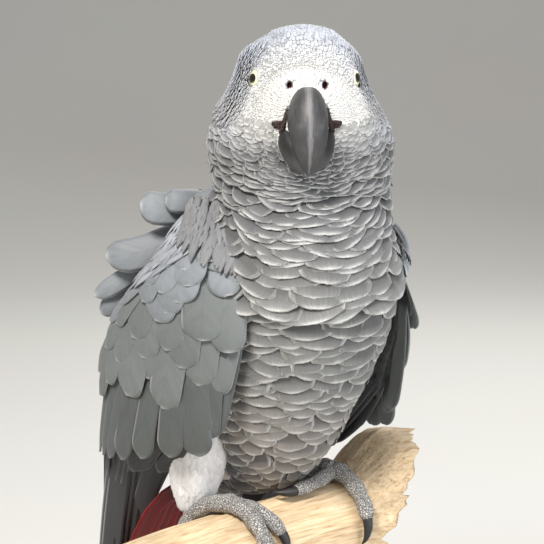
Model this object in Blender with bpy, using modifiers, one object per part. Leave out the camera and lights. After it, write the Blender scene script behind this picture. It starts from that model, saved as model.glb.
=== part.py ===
"""Grey parrot, life size, gripping a cut length of branch on a display stand.

Metres, +Z up. The origin is the middle of the base's underside. The branch runs from near left to
far right, the trunk faces the front-right, and the head is turned back to look along -Y.
Each sub-part is one object, and every touching pair keeps a gap of GAP.
"""

import math

import bmesh
import bpy
import numpy as np
from mathutils import Vector

MM = 0.001
GAP = 0.3 * MM

# Stand
BASE_RADIUS = 85 * MM
BASE_THICKNESS = 14 * MM
PERCH_LEVEL = 135 * MM  # the height of the branch's crown where the feet hold it
ROD_RADIUS = 4 * MM
ROD_PLACES = (-50 * MM, 24 * MM)  # along the branch
ROD_DEPTH = 9 * MM  # how far a rod goes into the branch

# Branch: a straight axis, which swells and lifts to a broken right end
PERCH_HEADING = 40  # degrees from +X towards +Y
PERCH_SLOPE = 0.0875
PERCH_START, PERCH_END = -95 * MM, 64 * MM
BREAK_BACK, BREAK_UP = 20 * MM, 12 * MM  # how much further the break reaches behind and on top
PERCH_RADIUS = 21 * MM
PERCH_FLARE = 8 * MM
PERCH_LIFT = 6 * MM
PERCH_THINNING = 0.25  # radius lost per length beyond the flare
FLARE_START, FLARE_LENGTH = 28 * MM, 32 * MM

# Trunk heading, in degrees from -Y towards +X
TRUNK_HEADING = 35
HEAD_HEADING = 4

# Body: height over the perch, centre x, centre y, half width, half depth, squareness, heading
BODY = (
    (197.0, 7.9, -12.0, 13.5, 14.5, 2.0, 4),
    (191.0, 7.9, -12.5, 19.2, 20.5, 2.0, 4),
    (184.0, 7.8, -12.0, 22.6, 25.0, 2.1, 4),
    (177.0, 7.7, -11.0, 24.2, 27.6, 2.1, 4),
    (169.0, 7.5, -9.5, 28.0, 28.8, 2.1, 4),
    (160.0, 7.2, -6.5, 34.2, 29.3, 2.2, 5),
    (151.0, 7.3, -2.5, 37.2, 30.0, 2.3, 7),
    (136.0, 8.0, 0.0, 36.3, 32.0, 2.2, 12),
    (120.0, 8.5, -0.5, 37.8, 37.0, 2.1, 22),
    (100.0, 9.0, -1.0, 40.5, 42.5, 2.1, 32),
    (80.0, 6.5, 1.5, 40.5, 44.5, 2.1, 35),
    (58.0, 1.5, 6.5, 37.0, 44.0, 2.1, 35),
    (36.0, -4.5, 12.0, 32.0, 41.0, 2.1, 35),
    (16.0, -8.0, 18.0, 26.5, 35.0, 2.0, 35),
    (2.0, -12.0, 24.0, 19.0, 26.0, 2.0, 35),
)
CROWN = 201.0  # height of the crown's pole
VENT = -8.0  # height of the vent's pole
CUTS = {"head": (CROWN, 139.0), "neck": (139.0, 112.0), "breast": (112.0, 62.0), "belly": (62.0, VENT)}
BODY_SIDES = 24

# Wing: height over the perch, forward and outward place of its front edge, width
WING = (
    (122.0, -9.0, 33.0, 10.0),
    (112.0, 4.0, 37.0, 26.0),
    (100.0, 13.0, 38.5, 42.0),
    (83.0, 18.0, 39.5, 61.0),
    (66.0, 16.0, 40.0, 66.0),
    (50.0, 10.0, 40.0, 64.0),
    (33.0, 5.0, 42.0, 56.0),
    (18.0, -2.0, 44.0, 49.0),
    (8.0, -24.0, 43.5, 36.0),
    (0.0, -40.0, 42.0, 26.0),
    (-20.0, -57.0, 38.0, 18.0),
    (-50.0, -75.0, 35.0, 12.0),
    (-86.0, -95.0, 34.0, 5.0),
)
WING_BULGE = 7 * MM

# What differs between the wings: side (+1 is the bird's left), splay of the rear edge in degrees,
# and how far the shoulder and the tip are moved forward and outward
WINGS = {
    "right": {"side": -1, "splay": 15, "shoulder": (0.0, 0.0), "tip": (0.0, 0.0)},
    "left": {"side": 1, "splay": -18, "shoulder": (8 * MM, 13 * MM), "tip": (-12 * MM, 10 * MM)},
}


def hermite(table, at):
    """Rows of the table, smoothly interpolated at heights in its first column."""
    rows = np.array(sorted(table), float)
    knots, values = rows[:, 0], rows[:, 1:]
    slopes = np.gradient(values, knots, axis=0)
    at = np.atleast_1d(np.asarray(at, float))
    left = np.clip(np.searchsorted(knots, at) - 1, 0, len(knots) - 2)
    span = knots[left + 1] - knots[left]
    t = np.clip((at - knots[left]) / span, 0, 1)[:, None]
    span = span[:, None]
    return (
        (2 * t**3 - 3 * t**2 + 1) * values[left]
        + (t**3 - 2 * t**2 + t) * span * slopes[left]
        + (3 * t**2 - 2 * t**3) * values[left + 1]
        + (t**3 - t**2) * span * slopes[left + 1]
    )


def heading_axes(degrees):
    """Unit vectors that point forward and to the bird's left at that heading."""
    angle = math.radians(degrees)
    return (
        np.array([math.sin(angle), -math.cos(angle), 0]),
        np.array([math.cos(angle), math.sin(angle), 0]),
    )


def body_row(height):
    """Body dimensions at a height, with its ends rounded off to the poles."""
    lowest, highest = BODY[-1][0], BODY[0][0]
    row = hermite(BODY, min(max(height, lowest), highest))[0]
    if height > highest:
        share = math.sqrt(max(0.0, 1 - ((height - highest) / (CROWN - highest)) ** 2))
        row[2:4] *= max(share, 0.02)
    if height < lowest:
        drop = (height - lowest) / (VENT - lowest)
        row[0:2] += drop * np.array([-5.0, 5.0])
        row[2:4] *= max(math.sqrt(max(0.0, 1 - drop**2)), 0.02)
    return row


def body_ring(height, inflate=0.0):
    """One closed ring of points round the body at a height in millimetres over the perch."""
    centre_x, centre_y, half_width, half_depth, squareness, heading = body_row(height)
    forward, left = heading_axes(heading)
    angles = np.arange(BODY_SIDES) * 2 * math.pi / BODY_SIDES
    cos, sin = np.cos(angles), np.sin(angles)
    radius = (np.abs(cos) ** squareness + np.abs(sin) ** squareness) ** (-1 / squareness)
    depth = (half_depth * MM + inflate) * radius * cos
    width = (half_width * MM + inflate) * radius * sin
    centre = np.array([centre_x, centre_y, height]) * MM + [0, 0, PERCH_LEVEL]
    return centre + depth[:, None] * forward + width[:, None] * left


def material(name, colour, roughness, metallic=0.0):
    found = bpy.data.materials.get(name)
    if found:
        return found
    made = bpy.data.materials.new(name)
    made.use_nodes = True
    shader = made.node_tree.nodes["Principled BSDF"]
    shader.inputs["Base Color"].default_value = (*colour, 1)
    shader.inputs["Roughness"].default_value = roughness
    shader.inputs["Metallic"].default_value = metallic
    return made


def new_object(name, points, faces, finish=None, helper=False):
    """A mesh object of these faces, in the parrot's collection or, for a cutter, in the other."""
    mesh = bpy.data.meshes.new(name)
    mesh.from_pydata([tuple(p) for p in points], [], faces)
    mesh.update()
    edit = bmesh.new()
    edit.from_mesh(mesh)
    bmesh.ops.recalc_face_normals(edit, faces=edit.faces)
    edit.to_mesh(mesh)
    edit.free()
    made = bpy.data.objects.new(name, mesh)
    (cutters if helper else parrot).objects.link(made)
    if helper:
        made.hide_render = True
        made.display_type = "WIRE"
    else:
        mesh.materials.append(finish)
        mesh.shade_smooth()
        mesh.set_sharp_from_angle(angle=math.radians(50))
    return made


def loft(name, rings, finish=None, helper=False):
    """A closed solid through rings with equal numbers of points, with flat ends."""
    sides = len(rings[0])
    points = np.concatenate(rings)
    faces = []
    for ring in range(len(rings) - 1):
        for side in range(sides):
            after = (side + 1) % sides
            low, high = ring * sides, (ring + 1) * sides
            faces.append((low + side, low + after, high + after, high + side))
    faces.append(tuple(range(sides)))
    faces.append(tuple(range(len(points) - sides, len(points))))
    return new_object(name, points, faces, finish, helper)


def tube_rings(path, radii, sides):
    """Circles square to a path, which don't twist along it."""
    path = np.asarray(path, float)
    ways = np.gradient(path, axis=0)
    ways /= np.linalg.norm(ways, axis=1)[:, None]
    across = np.cross(ways[0], [0.2, 0.1, 1.0])
    angles = np.arange(sides) * 2 * math.pi / sides
    rings = []
    for point, way, radius in zip(path, ways, radii):
        across = across - way * (across @ way)
        across /= np.linalg.norm(across)
        other = np.cross(way, across)
        circle = np.outer(np.cos(angles), across) + np.outer(np.sin(angles), other)
        rings.append(point + radius * circle)
    return rings


def join_boolean(target, other, operation):
    modifier = target.modifiers.new(operation.title(), "BOOLEAN")
    modifier.operation = operation
    modifier.solver = "EXACT"
    modifier.object = other


def ellipsoid(name, centre, axes, sizes, segments, rings, finish=None, helper=False):
    """A sphere primitive stretched along three axes."""
    edit = bmesh.new()
    bmesh.ops.create_uvsphere(edit, u_segments=segments, v_segments=rings, radius=1)
    for vertex in edit.verts:
        place = np.array(vertex.co) * sizes
        vertex.co = Vector(centre + place @ np.array(axes))
    mesh = bpy.data.meshes.new(name)
    edit.to_mesh(mesh)
    edit.free()
    points = [tuple(v.co) for v in mesh.vertices]
    faces = [tuple(p.vertices) for p in mesh.polygons]
    return new_object(name, points, faces, finish, helper)


# ---------------------------------------------------------------- flesh


def body_heights(top, bottom):
    """Ring heights of one length of the body, closer together near a pole."""
    count = max(3, round((top - bottom) / 7.5))
    steps = np.linspace(0, 1, count + 1)
    if top == CROWN:
        steps = steps**1.5
    if bottom == VENT:
        steps = 1 - (1 - steps) ** 1.4
    return top + (bottom - top) * steps


def make_flesh():
    """Head, neck, breast and belly: one form, parted with thin level cuts."""
    made = {}
    for name, (top, bottom) in CUTS.items():
        heights = body_heights(top, bottom)
        if top != CROWN:
            heights[0] -= GAP / MM / 2
        if bottom != VENT:
            heights[-1] += GAP / MM / 2
        made[name] = loft(name, [body_ring(h) for h in heights], plumage)
    return made


def body_cutter(name, top, bottom, inflate=GAP):
    rings = [body_ring(h, inflate) for h in body_heights(top, bottom)]
    rings[0], rings[-1] = rings[0] + [0, 0, inflate], rings[-1] - [0, 0, inflate]
    return loft(name, rings, helper=True)


# ---------------------------------------------------------------- head

HEAD_CENTRE = np.array([6.9, 0.0, 0.0]) * MM
EYE_FORWARD, EYE_SIDE, EYE_LEVEL = 23.0 * MM, 17.6 * MM, 179.0 * MM
EYE_RADIUS = 4.8 * MM

# Upper bill: ridge forward, ridge height, underside forward, underside height, half width
UPPER_BILL = (
    (30.0, 175.0, 26.0, 163.0, 5.4),
    (37.5, 177.0, 30.0, 160.0, 6.5),
    (44.0, 174.5, 34.0, 158.0, 7.3),
    (49.0, 169.0, 37.5, 156.0, 7.6),
    (51.6, 161.5, 40.0, 154.0, 7.2),
    (51.2, 154.0, 41.5, 151.5, 6.1),
    (48.6, 148.0, 42.5, 149.0, 4.4),
    (45.2, 144.2, 42.3, 146.2, 2.6),
    (42.0, 141.8, 41.2, 143.2, 0.8),
)
# Lower bill: forward, height, half width, half height
LOWER_BILL = (
    (24.0, 155.0, 9.5, 5.5),
    (30.0, 152.8, 11.0, 7.5),
    (35.0, 151.6, 10.9, 8.0),
    (39.5, 150.8, 9.4, 7.2),
    (42.6, 150.4, 6.8, 5.4),
    (44.2, 150.6, 3.6, 3.2),
)
CERE_PLACE, CERE_SIZE = (30.0, 167.5), (12.4, 9.5, 11.0)  # forward and height; half sizes


def head_point(forward_by, left_by, height):
    """A place in the head's own frame, in metres, as a place in the parrot's."""
    forward, left = heading_axes(HEAD_HEADING)
    place = HEAD_CENTRE + forward_by * forward + left_by * left
    return place + np.array([0, 0, PERCH_LEVEL + height])


def upper_bill_rings(sides=14, inflate=0.0):
    rings = []
    angles = np.arange(sides) * 2 * math.pi / sides
    _, left = heading_axes(HEAD_HEADING)
    for ridge_f, ridge_z, under_f, under_z, half_width in UPPER_BILL:
        ridge = head_point(ridge_f * MM, 0, ridge_z * MM)
        under = head_point(under_f * MM, 0, under_z * MM)
        middle, reach = (ridge + under) / 2, (ridge - under) / 2
        length = np.linalg.norm(reach)
        along = (length + inflate) * np.cos(angles)
        # narrower at the ridge than at the cutting edge
        taper = 1 - 0.28 * np.cos(angles)
        across = (half_width * MM + inflate) * np.sin(angles) * taper
        rings.append(middle + np.outer(along, reach / length) + np.outer(across, left))
    return rings


def lower_bill_rings(sides=14, inflate=0.0):
    rings = []
    angles = np.arange(sides) * 2 * math.pi / sides
    _, left = heading_axes(HEAD_HEADING)
    for forward_by, height, half_width, half_height in LOWER_BILL:
        across = (half_width * MM + inflate) * np.sin(angles)
        upward = (half_height * MM + inflate) * np.cos(angles)
        centre = head_point(forward_by * MM, 0, height * MM)
        rings.append(centre + np.outer(across, left) + np.outer(upward, (0, 0, 1)))
    if inflate:
        forward, _ = heading_axes(HEAD_HEADING)
        rings[0] = rings[0] - inflate * forward
        rings[-1] = rings[-1] + inflate * forward
    return rings


def make_head(head, neck):
    """Cere, bill and eyes, with the head cut back to seat them."""
    forward, left = heading_axes(HEAD_HEADING)
    axes = (left, forward, (0, 0, 1))
    cere = ellipsoid(
        "cere_form",
        head_point(CERE_PLACE[0] * MM, 0, CERE_PLACE[1] * MM),
        axes,
        np.array(CERE_SIZE) * MM,
        14,
        8,
        helper=True,
    )
    join_boolean(head, cere, "UNION")
    upper = loft("bill_upper", upper_bill_rings(), horn)
    lower = loft("bill_lower", lower_bill_rings(), horn)
    upper_cutter = loft("upper_bill_seat", upper_bill_rings(inflate=GAP), helper=True)
    join_boolean(lower, upper_cutter, "DIFFERENCE")
    join_boolean(head, upper_cutter, "DIFFERENCE")
    lower_cutter = loft("lower_bill_seat", lower_bill_rings(inflate=GAP), helper=True)
    for fleshy in (head, neck):
        join_boolean(fleshy, lower_cutter, "DIFFERENCE")
    for name, side in (("eye_right", -1), ("eye_left", 1)):
        centre = head_point(EYE_FORWARD, side * EYE_SIDE, EYE_LEVEL)
        ellipsoid(name, centre, axes, np.full(3, EYE_RADIUS), 12, 7, eye_colour)
        socket = ellipsoid(
            name + "_socket", centre, axes, np.full(3, EYE_RADIUS + 2 * GAP), 12, 7, helper=True
        )
        join_boolean(head, socket, "DIFFERENCE")


# ---------------------------------------------------------------- wings


def wing_point(wing, height, share):
    """A point of a wing's outer face. Share runs from its front edge, 0, to its rear edge, 1."""
    forward_at, out_at, width = hermite(WING, height)[0] * MM
    lowness = (WING[0][0] - height) / (WING[0][0] - WING[-1][0])
    shift = np.array(wing["shoulder"]) * (1 - lowness) + np.array(wing["tip"]) * lowness
    forward_at, out_at = forward_at + shift[0], out_at + shift[1]
    forward, left = heading_axes(TRUNK_HEADING)
    out = left * wing["side"]
    splay = math.radians(wing["splay"])
    rearward = -math.cos(splay) * forward + math.sin(splay) * out
    bulge = WING_BULGE * 4 * share * (1 - share) * min(1.0, width / (50 * MM))
    place = forward * (forward_at - bulge * math.sin(splay)) + out * (out_at + bulge)
    return place + rearward * share * width + np.array([0, 0, PERCH_LEVEL + height * MM])


def wing_normal(wing, height, share):
    step_h, step_s = 2.0, 0.05
    low, high = wing_point(wing, height - step_h, share), wing_point(wing, height + step_h, share)
    front = wing_point(wing, height, max(share - step_s, 0))
    rear = wing_point(wing, height, min(share + step_s, 1))
    normal = np.cross(high - low, rear - front) * wing["side"]
    return normal / np.linalg.norm(normal)


def scallops(share, count, depth):
    """How far a row of rounded feather tips falls short of its longest point."""
    place = (share * count) % 1.0
    return depth * (2 * place - 1) ** 2


def wing_plate(name, wing, rows, columns, span, layer, thickness, heights):
    """A plate of feathers within the wing, a layer below its outer face. heights(share) gives the
    upper and lower height of a column."""
    grid = []
    for row in range(rows + 1):
        for column in range(columns + 1):
            share = span[0] + (span[1] - span[0]) * column / columns
            top, bottom = heights(share)
            height = top + (bottom - top) * row / rows
            point = wing_point(wing, height, share)
            grid.append(point - layer * wing_normal(wing, height, share))
    faces = []
    for row in range(rows):
        for column in range(columns):
            first = row * (columns + 1) + column
            below = first + columns + 1
            face = (first, first + 1, below + 1, below)
            faces.append(face if wing["side"] > 0 else face[::-1])
    mesh = bpy.data.meshes.new(name)
    mesh.from_pydata([tuple(p) for p in grid], [], faces)
    mesh.update()
    made = bpy.data.objects.new(name, mesh)
    parrot.objects.link(made)
    mesh.materials.append(vane)
    wall = made.modifiers.new("Thickness", "SOLIDIFY")
    wall.thickness = thickness
    wall.offset = 1 if wing_faces_in(mesh, wing) else -1
    wall.use_quality_normals = True
    return made


def wing_faces_in(mesh, wing):
    """True if the plate's faces point at the body, so that its wall has to go that way."""
    _, left = heading_axes(TRUNK_HEADING)
    return (np.array(mesh.polygons[0].normal) @ left) * wing["side"] < 0


def make_wings(seats):
    for side, wing in WINGS.items():
        plates = [
            wing_plate(
                f"wing_{side}_coverts", wing, 4, 21, (0.0, 1.0), 0, 4.2 * MM,
                lambda q: (123.0 - 40 * q**1.4, 40.0 + scallops(q, 7, 6.0) + 24 * (1 - q) ** 3),
            ),
            wing_plate(
                f"wing_{side}_secondaries", wing, 4, 16, (0.03, 0.99), 5.0 * MM, 1.8 * MM,
                lambda q: (66.0 - 6 * q, 12.0 + scallops(q, 8, 8.0) + 8 * (1 - q) ** 2),
            ),
            wing_plate(
                f"wing_{side}_primaries", wing, 8, 10, (0.10, 0.92), 8.6 * MM, 1.5 * MM,
                lambda q: (32.0, -78.0 + scallops(q, 5, 9.0) + 66 * q**1.4),
            ),
        ]
        for plate in plates:
            for seat in seats:
                join_boolean(plate, seat, "DIFFERENCE")


# Raised shoulder feathers of the right wing: the root, then the fan's outer edge
SCAPULAR_ROOT = (-24.0, 10.0, 124.0)
SCAPULAR_EDGE = ((-50.0, 2.0, 136.0), (-70.0, 6.0, 116.0), (-80.0, 10.0, 92.0), (-77.0, 12.0, 68.0))


def make_scapulars(seats):
    """A fan of three broad feathers that stands off the right shoulder."""
    rows, columns = 4, 12
    root = np.array(SCAPULAR_ROOT)
    edge = [(i / (len(SCAPULAR_EDGE) - 1), *tip) for i, tip in enumerate(SCAPULAR_EDGE)]
    grid = []
    for row in range(rows + 1):
        for column in range(columns + 1):
            around = column / columns
            tip = hermite(edge, around)[0]
            reach = 1 - scallops(around, 3, 0.15)
            share = (0.25 + 0.75 * row / rows) * reach
            start = root + [0, 0, -34 * around]
            point = start + (tip - start) * share
            point[1] += 4 * math.sin(math.pi * share)
            grid.append(point * MM + [0, 0, PERCH_LEVEL])
    make_plate("scapulars_right", grid, rows, columns, 2.4 * MM, seats)


def make_plate(name, grid, rows, columns, thickness, seats, centred=0):
    faces = []
    for row in range(rows):
        for column in range(columns):
            first = row * (columns + 1) + column
            below = first + columns + 1
            faces.append((first, first + 1, below + 1, below))
    mesh = bpy.data.meshes.new(name)
    mesh.from_pydata([tuple(p) for p in grid], [], faces)
    mesh.update()
    made = bpy.data.objects.new(name, mesh)
    parrot.objects.link(made)
    mesh.materials.append(vane)
    wall = made.modifiers.new("Thickness", "SOLIDIFY")
    wall.thickness = thickness
    wall.offset = centred
    wall.use_quality_normals = True
    for seat in seats:
        join_boolean(made, seat, "DIFFERENCE")
    return made


# ---------------------------------------------------------------- tail

# Along the tail: distance back from the origin, height, half width; then its arch and thickness
TAIL = (
    (44.0, 6.0, 15.0),
    (52.0, -8.0, 23.0),
    (66.0, -36.0, 29.0),
    (78.0, -60.0, 31.0),
    (88.0, -82.0, 32.0),
)
TAIL_ARCH = 5 * MM
TAIL_THICKNESS = 3 * MM
# The coverts round its root: distance back, height, half width, half thickness
TAIL_ROOT = (
    (28.0, 14.0, 17.0, 16.0),
    (40.0, 4.0, 18.0, 14.0),
    (50.0, -10.0, 17.0, 10.0),
    (58.0, -24.0, 15.0, 6.0),
    (63.0, -34.0, 10.0, 3.4),
)


def trunk_point(forward_by, left_by, height):
    forward, left = heading_axes(TRUNK_HEADING)
    return forward * forward_by + left * left_by + np.array([0, 0, PERCH_LEVEL + height])


def make_tail(seats):
    """Twelve red feathers as one plate, and the soft coverts that close round its root."""
    rows, columns = 4, 12
    grid = []
    table = [(i / (len(TAIL) - 1), *row) for i, row in enumerate(TAIL)]
    for row in range(rows + 1):
        for column in range(columns + 1):
            across = 2 * column / columns - 1
            short = scallops(column / columns, 6, 0.05) + 0.05 * across**2
            back, height, half = hermite(table, row / rows * (1 - short))[0] * MM
            grid.append(trunk_point(-back + TAIL_ARCH * across**2, half * across, height))
    tail = make_plate("tail", grid, rows, columns, TAIL_THICKNESS, seats)
    tail.data.materials[0] = crimson
    room = grown(grid, rows, columns, 2 * GAP)
    slot = make_plate("tail_slot", room, rows, columns, TAIL_THICKNESS + 2 * GAP, ())
    parrot.objects.unlink(slot)
    cutters.objects.link(slot)
    slot.hide_render, slot.display_type = True, "WIRE"
    coverts = loft("tail_coverts", tail_root_rings(0.0), plumage)
    for seat in (*seats, slot):
        join_boolean(coverts, seat, "DIFFERENCE")


def grown(grid, rows, columns, amount):
    """The same grid with its root edge and its sides moved outward."""
    net = np.array(grid).reshape(rows + 1, columns + 1, 3)
    grown_net = net.copy()
    for edge, inner in ((np.s_[0], np.s_[1]), (np.s_[:, 0], np.s_[:, 1]), (np.s_[:, -1], np.s_[:, -2])):
        way = net[edge] - net[inner]
        grown_net[edge] += amount * way / np.linalg.norm(way, axis=-1)[:, None]
    return list(grown_net.reshape(-1, 3))


def tail_root_rings(inflate, sides=18):
    rings = []
    table = [(i / (len(TAIL_ROOT) - 1), *row) for i, row in enumerate(TAIL_ROOT)]
    angles = np.arange(sides) * 2 * math.pi / sides
    _, left = heading_axes(TRUNK_HEADING)
    for step in np.linspace(0, 1, 8):
        back, height, half_width, half_depth = hermite(table, step)[0] * MM
        normal = trunk_point(-0.87, 0, 0.5) - trunk_point(0, 0, 0)
        across = (half_width + inflate) * np.cos(angles)
        depth = (half_depth + inflate) * np.sin(angles)
        centre = trunk_point(-back, 0, height)
        rings.append(centre + np.outer(across, left) + np.outer(depth, normal))
    return rings


# ---------------------------------------------------------------- branch and stand


def perch_axis(along):
    """The branch's axis and radius at a distance along it."""
    heading = math.radians(PERCH_HEADING)
    t = min(max((along - FLARE_START) / FLARE_LENGTH, 0), 1)
    swell = t * t * (3 - 2 * t)
    radius = PERCH_RADIUS + PERCH_FLARE * swell - PERCH_THINNING * max(0, along - FLARE_START - FLARE_LENGTH)
    height = PERCH_LEVEL - PERCH_RADIUS + PERCH_SLOPE * along + PERCH_LIFT * swell
    return np.array([along * math.cos(heading), along * math.sin(heading), height]), radius


def perch_point(along, around, lift=0.0):
    """A point over the branch. Around is in degrees from its crown towards the front."""
    heading, angle = math.radians(PERCH_HEADING), math.radians(around)
    front = np.array([math.sin(heading), -math.cos(heading), 0])
    centre, radius = perch_axis(along)
    reach = radius + lift
    return centre + reach * (math.sin(angle) * front + math.cos(angle) * np.array([0, 0, 1]))


def perch_rings(inflate=0.0, sides=20):
    """Rings from the sawn end to the broken end, which turns inward to a hollow."""
    rings = []
    turns = [360 * i / sides for i in range(sides)]
    for along in [PERCH_START, PERCH_START + 1.5 * MM, *np.linspace(-80, 24, 8) * MM]:
        chamfer = 1.2 * MM if along == PERCH_START else 0.0
        along = along - inflate if along == PERCH_START else along
        rings.append([
            perch_point(along, turn, inflate - chamfer + knots(along, turn, inflate)) for turn in turns
        ])
    for share in (0.3, 0.6, 0.85):
        rings.append([
            perch_point(24 * MM + (break_along(turn) - 24 * MM) * share, turn, inflate)
            for turn in turns
        ])
    for shrink, depth, rough in ((1.0, 0.0, 1.0), (0.6, 8.0, 0.5), (0.2, 12.0, 0.2)):
        if inflate and shrink < 1:
            continue
        ring = []
        for i, turn in enumerate(turns):
            splinter = 2.6 * math.sin(i * 2.9) + 2.2 * math.sin(i * 5.3 + 1)
            along = break_along(turn, shrink) + (splinter * rough - depth) * MM + inflate
            _, radius = perch_axis(along)
            ring.append(perch_point(along, turn, inflate - radius * (1 - shrink)))
        rings.append(ring)
    return [np.array(ring) for ring in rings]


def break_along(turn, share=1.0):
    """Where the slanted break meets the branch's surface, or that share of the way to it."""
    angle = math.radians(turn)
    return PERCH_END + share * (BREAK_UP * math.cos(angle) - BREAK_BACK * math.sin(angle))


def knots(along, turn, inflate):
    """Shallow hollows of the wood, left out of the seats that are cut for it."""
    if inflate:
        return 0.0
    angle = math.radians(turn)
    wave = math.sin(along / MM * 0.09 + angle) + math.sin(along / MM * 0.05 + 2 * angle)
    return -0.35 * MM * (1 - wave / 2)


def make_perch():
    perch = loft("perch", perch_rings(), wood)
    bpy.context.view_layer.update()
    for number, along in enumerate(ROD_PLACES, 1):
        centre, radius = perch_axis(along)
        top = centre[2] - radius + ROD_DEPTH
        bottom = BASE_THICKNESS - ROD_DEPTH * 0.8
        cylinder(f"stand_rod_{number}", centre, bottom, top, ROD_RADIUS, 14, steel)
        hole = cylinder(
            f"rod_hole_{number}", centre, bottom - GAP, top + GAP, ROD_RADIUS + 1.5 * GAP, 14, helper=True
        )
        join_boolean(perch, hole, "DIFFERENCE")
    base = make_base()
    for number in (1, 2):
        join_boolean(base, bpy.data.objects[f"rod_hole_{number}"], "DIFFERENCE")


def cylinder(name, centre, bottom, top, radius, sides, finish=None, helper=False):
    angles = np.arange(sides) * 2 * math.pi / sides
    circle = np.stack([np.cos(angles), np.sin(angles), np.zeros(sides)], axis=1) * radius
    place = np.array([centre[0], centre[1], 0])
    chamfer = 0 if helper else 0.4 * MM
    heights = (bottom, bottom + chamfer, top - chamfer, top) if chamfer else (bottom, top)
    shrink = (1 - chamfer / radius, 1, 1, 1 - chamfer / radius) if chamfer else (1, 1)
    rings = [place + circle * s + [0, 0, z] for s, z in zip(shrink, heights)]
    return loft(name, rings, finish, helper)


def make_base():
    """The round base, with a bevelled rim."""
    profile = ((BASE_RADIUS - 1.5 * MM, 0), (BASE_RADIUS, 1.5 * MM),
               (BASE_RADIUS, BASE_THICKNESS - 3 * MM), (BASE_RADIUS - 3 * MM, BASE_THICKNESS))
    angles = np.arange(36) * 2 * math.pi / 36
    circle = np.stack([np.cos(angles), np.sin(angles), np.zeros(36)], axis=1)
    return loft("stand_base", [circle * r + [0, 0, z] for r, z in profile], lacquer)


# ---------------------------------------------------------------- legs

# Each foot: the place of its joint along the branch, then its toes as (number, places along the
# branch, angles round it), from the joint outward
FEET = {
    "right": (-29.7, {
        1: ((-28.0, -24.5, -22.0), (-8, -24, -42)),
        2: ((-27.0, -21.0, -17.5), (10, 34, 60)),
        3: ((-29.0, -28.0, -27.5), (10, 42, 76)),
        4: ((-31.5, -34.5, -37.0), (-8, -38, -72)),
    }),
    "left": (26.0, {
        1: ((24.5, 21.0, 18.5), (-10, -26, -44)),
        2: ((22.5, 12.0, 0.5), (8, 15, 17)),
        3: ((27.5, 28.0, 27.5), (10, 42, 74)),
        4: ((28.5, 32.0, 34.5), (-10, -36, -64)),
    }),
}
TOE_RADIUS = {1: (3.3, 2.7), 2: (3.6, 2.7), 3: (4.2, 3.2), 4: (4.0, 3.0)}
CLAW_LENGTH = {1: 8.0, 2: 10.0, 3: 12.0, 4: 11.0}
SHANK_RADIUS = (4.0, 3.7, 3.9, 4.7)
SHANK_STEP = {"right": (-16.5, 20.5, -10.0), "left": (-13.0, 21.0, -7.0)}  # joint to ankle
KNEE_STEP = (0.0, 2.0, 44.0)  # from the ankle to the knee, inside the flank
THIGH_RADIUS = (11.0, 12.5, 12.5, 10.5, 5.6)
THIGH_IN = 6.0  # how far the knee leans to the midline


def toe_path(joint, places, angles, radius, steps=6):
    """A toe's centre line over the branch."""
    knots_at = np.linspace(0, 1, len(places) + 1)
    table = list(zip(knots_at, (joint, *places), (0, *angles)))
    path = []
    for step in np.linspace(0, 1, steps):
        along, around = hermite(table, step)[0]
        path.append(perch_point(along * MM, around, radius * MM))
    return path


def make_leg(side, perch_seat, body_seat):
    joint, toes = FEET[side]
    start = perch_point(joint * MM, 0, 3.4 * MM)
    ankle = start + np.array(SHANK_STEP[side]) * MM
    steps = np.linspace(0, 1, len(SHANK_RADIUS))
    bend = np.array([0, 0, 1.6 * MM])
    path = [start + (ankle - start) * t + bend * math.sin(math.pi * t) for t in steps]
    foot = loft(f"foot_{side}", tube_rings(path, np.array(SHANK_RADIUS) * MM, 10), scale_skin)
    knuckle = ellipsoid(f"knuckle_{side}", start, np.eye(3), np.full(3, 4.4 * MM), 10, 7, helper=True)
    join_boolean(foot, knuckle, "UNION")
    for number, (places, angles) in toes.items():
        wide, narrow = TOE_RADIUS[number]
        path = toe_path(joint, places, angles, wide * 0.9)
        radii = np.linspace(wide, narrow, len(path)) * MM
        toe = loft(f"toe_{side}_{number}", tube_rings(path, radii, 7), helper=True)
        join_boolean(foot, toe, "UNION")
        make_claw(side, number, path, (perch_seat, body_seat))
    join_boolean(foot, perch_seat, "DIFFERENCE")
    join_boolean(foot, body_seat, "DIFFERENCE")
    make_thigh(side, ankle, foot, body_seat)


def make_claw(side, number, toe, seats):
    """A curved, tapering claw beyond a toe's end."""
    way = np.array(toe[-1]) - toe[-2]
    way /= np.linalg.norm(way)
    inward = np.array(toe[-1]) - 2 * np.array(toe[-2]) + toe[-3]
    inward = inward - way * (inward @ way)
    inward /= max(np.linalg.norm(inward), 1e-9)
    length = CLAW_LENGTH[number] * MM
    start = toe[-1] + way * GAP
    path = [start + length * (way * math.sin(a) + inward * (1 - math.cos(a)) * 0.8) / 1.2
            for a in np.linspace(0, 1.35, 5)]
    radii = np.array([2.3, 2.0, 1.5, 0.95, 0.3]) * MM
    claw = loft(f"claw_{side}_{number}", tube_rings(path, radii, 7), claw_horn)
    for seat in seats:
        join_boolean(claw, seat, "DIFFERENCE")


def thigh_rings(side, ankle, inflate=0.0):
    _, left = heading_axes(TRUNK_HEADING)
    inward = -left if side == "left" else left
    knee = ankle + np.array(KNEE_STEP) * MM + inward * THIGH_IN * MM
    steps = np.linspace(0, 1, len(THIGH_RADIUS))
    path = [knee + (ankle - knee) * t for t in steps]
    away = (ankle - knee) / np.linalg.norm(ankle - knee)
    if inflate:
        path[-1] = path[-1] + away * inflate
    return tube_rings(path, np.array(THIGH_RADIUS) * MM + inflate, 16)


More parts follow.
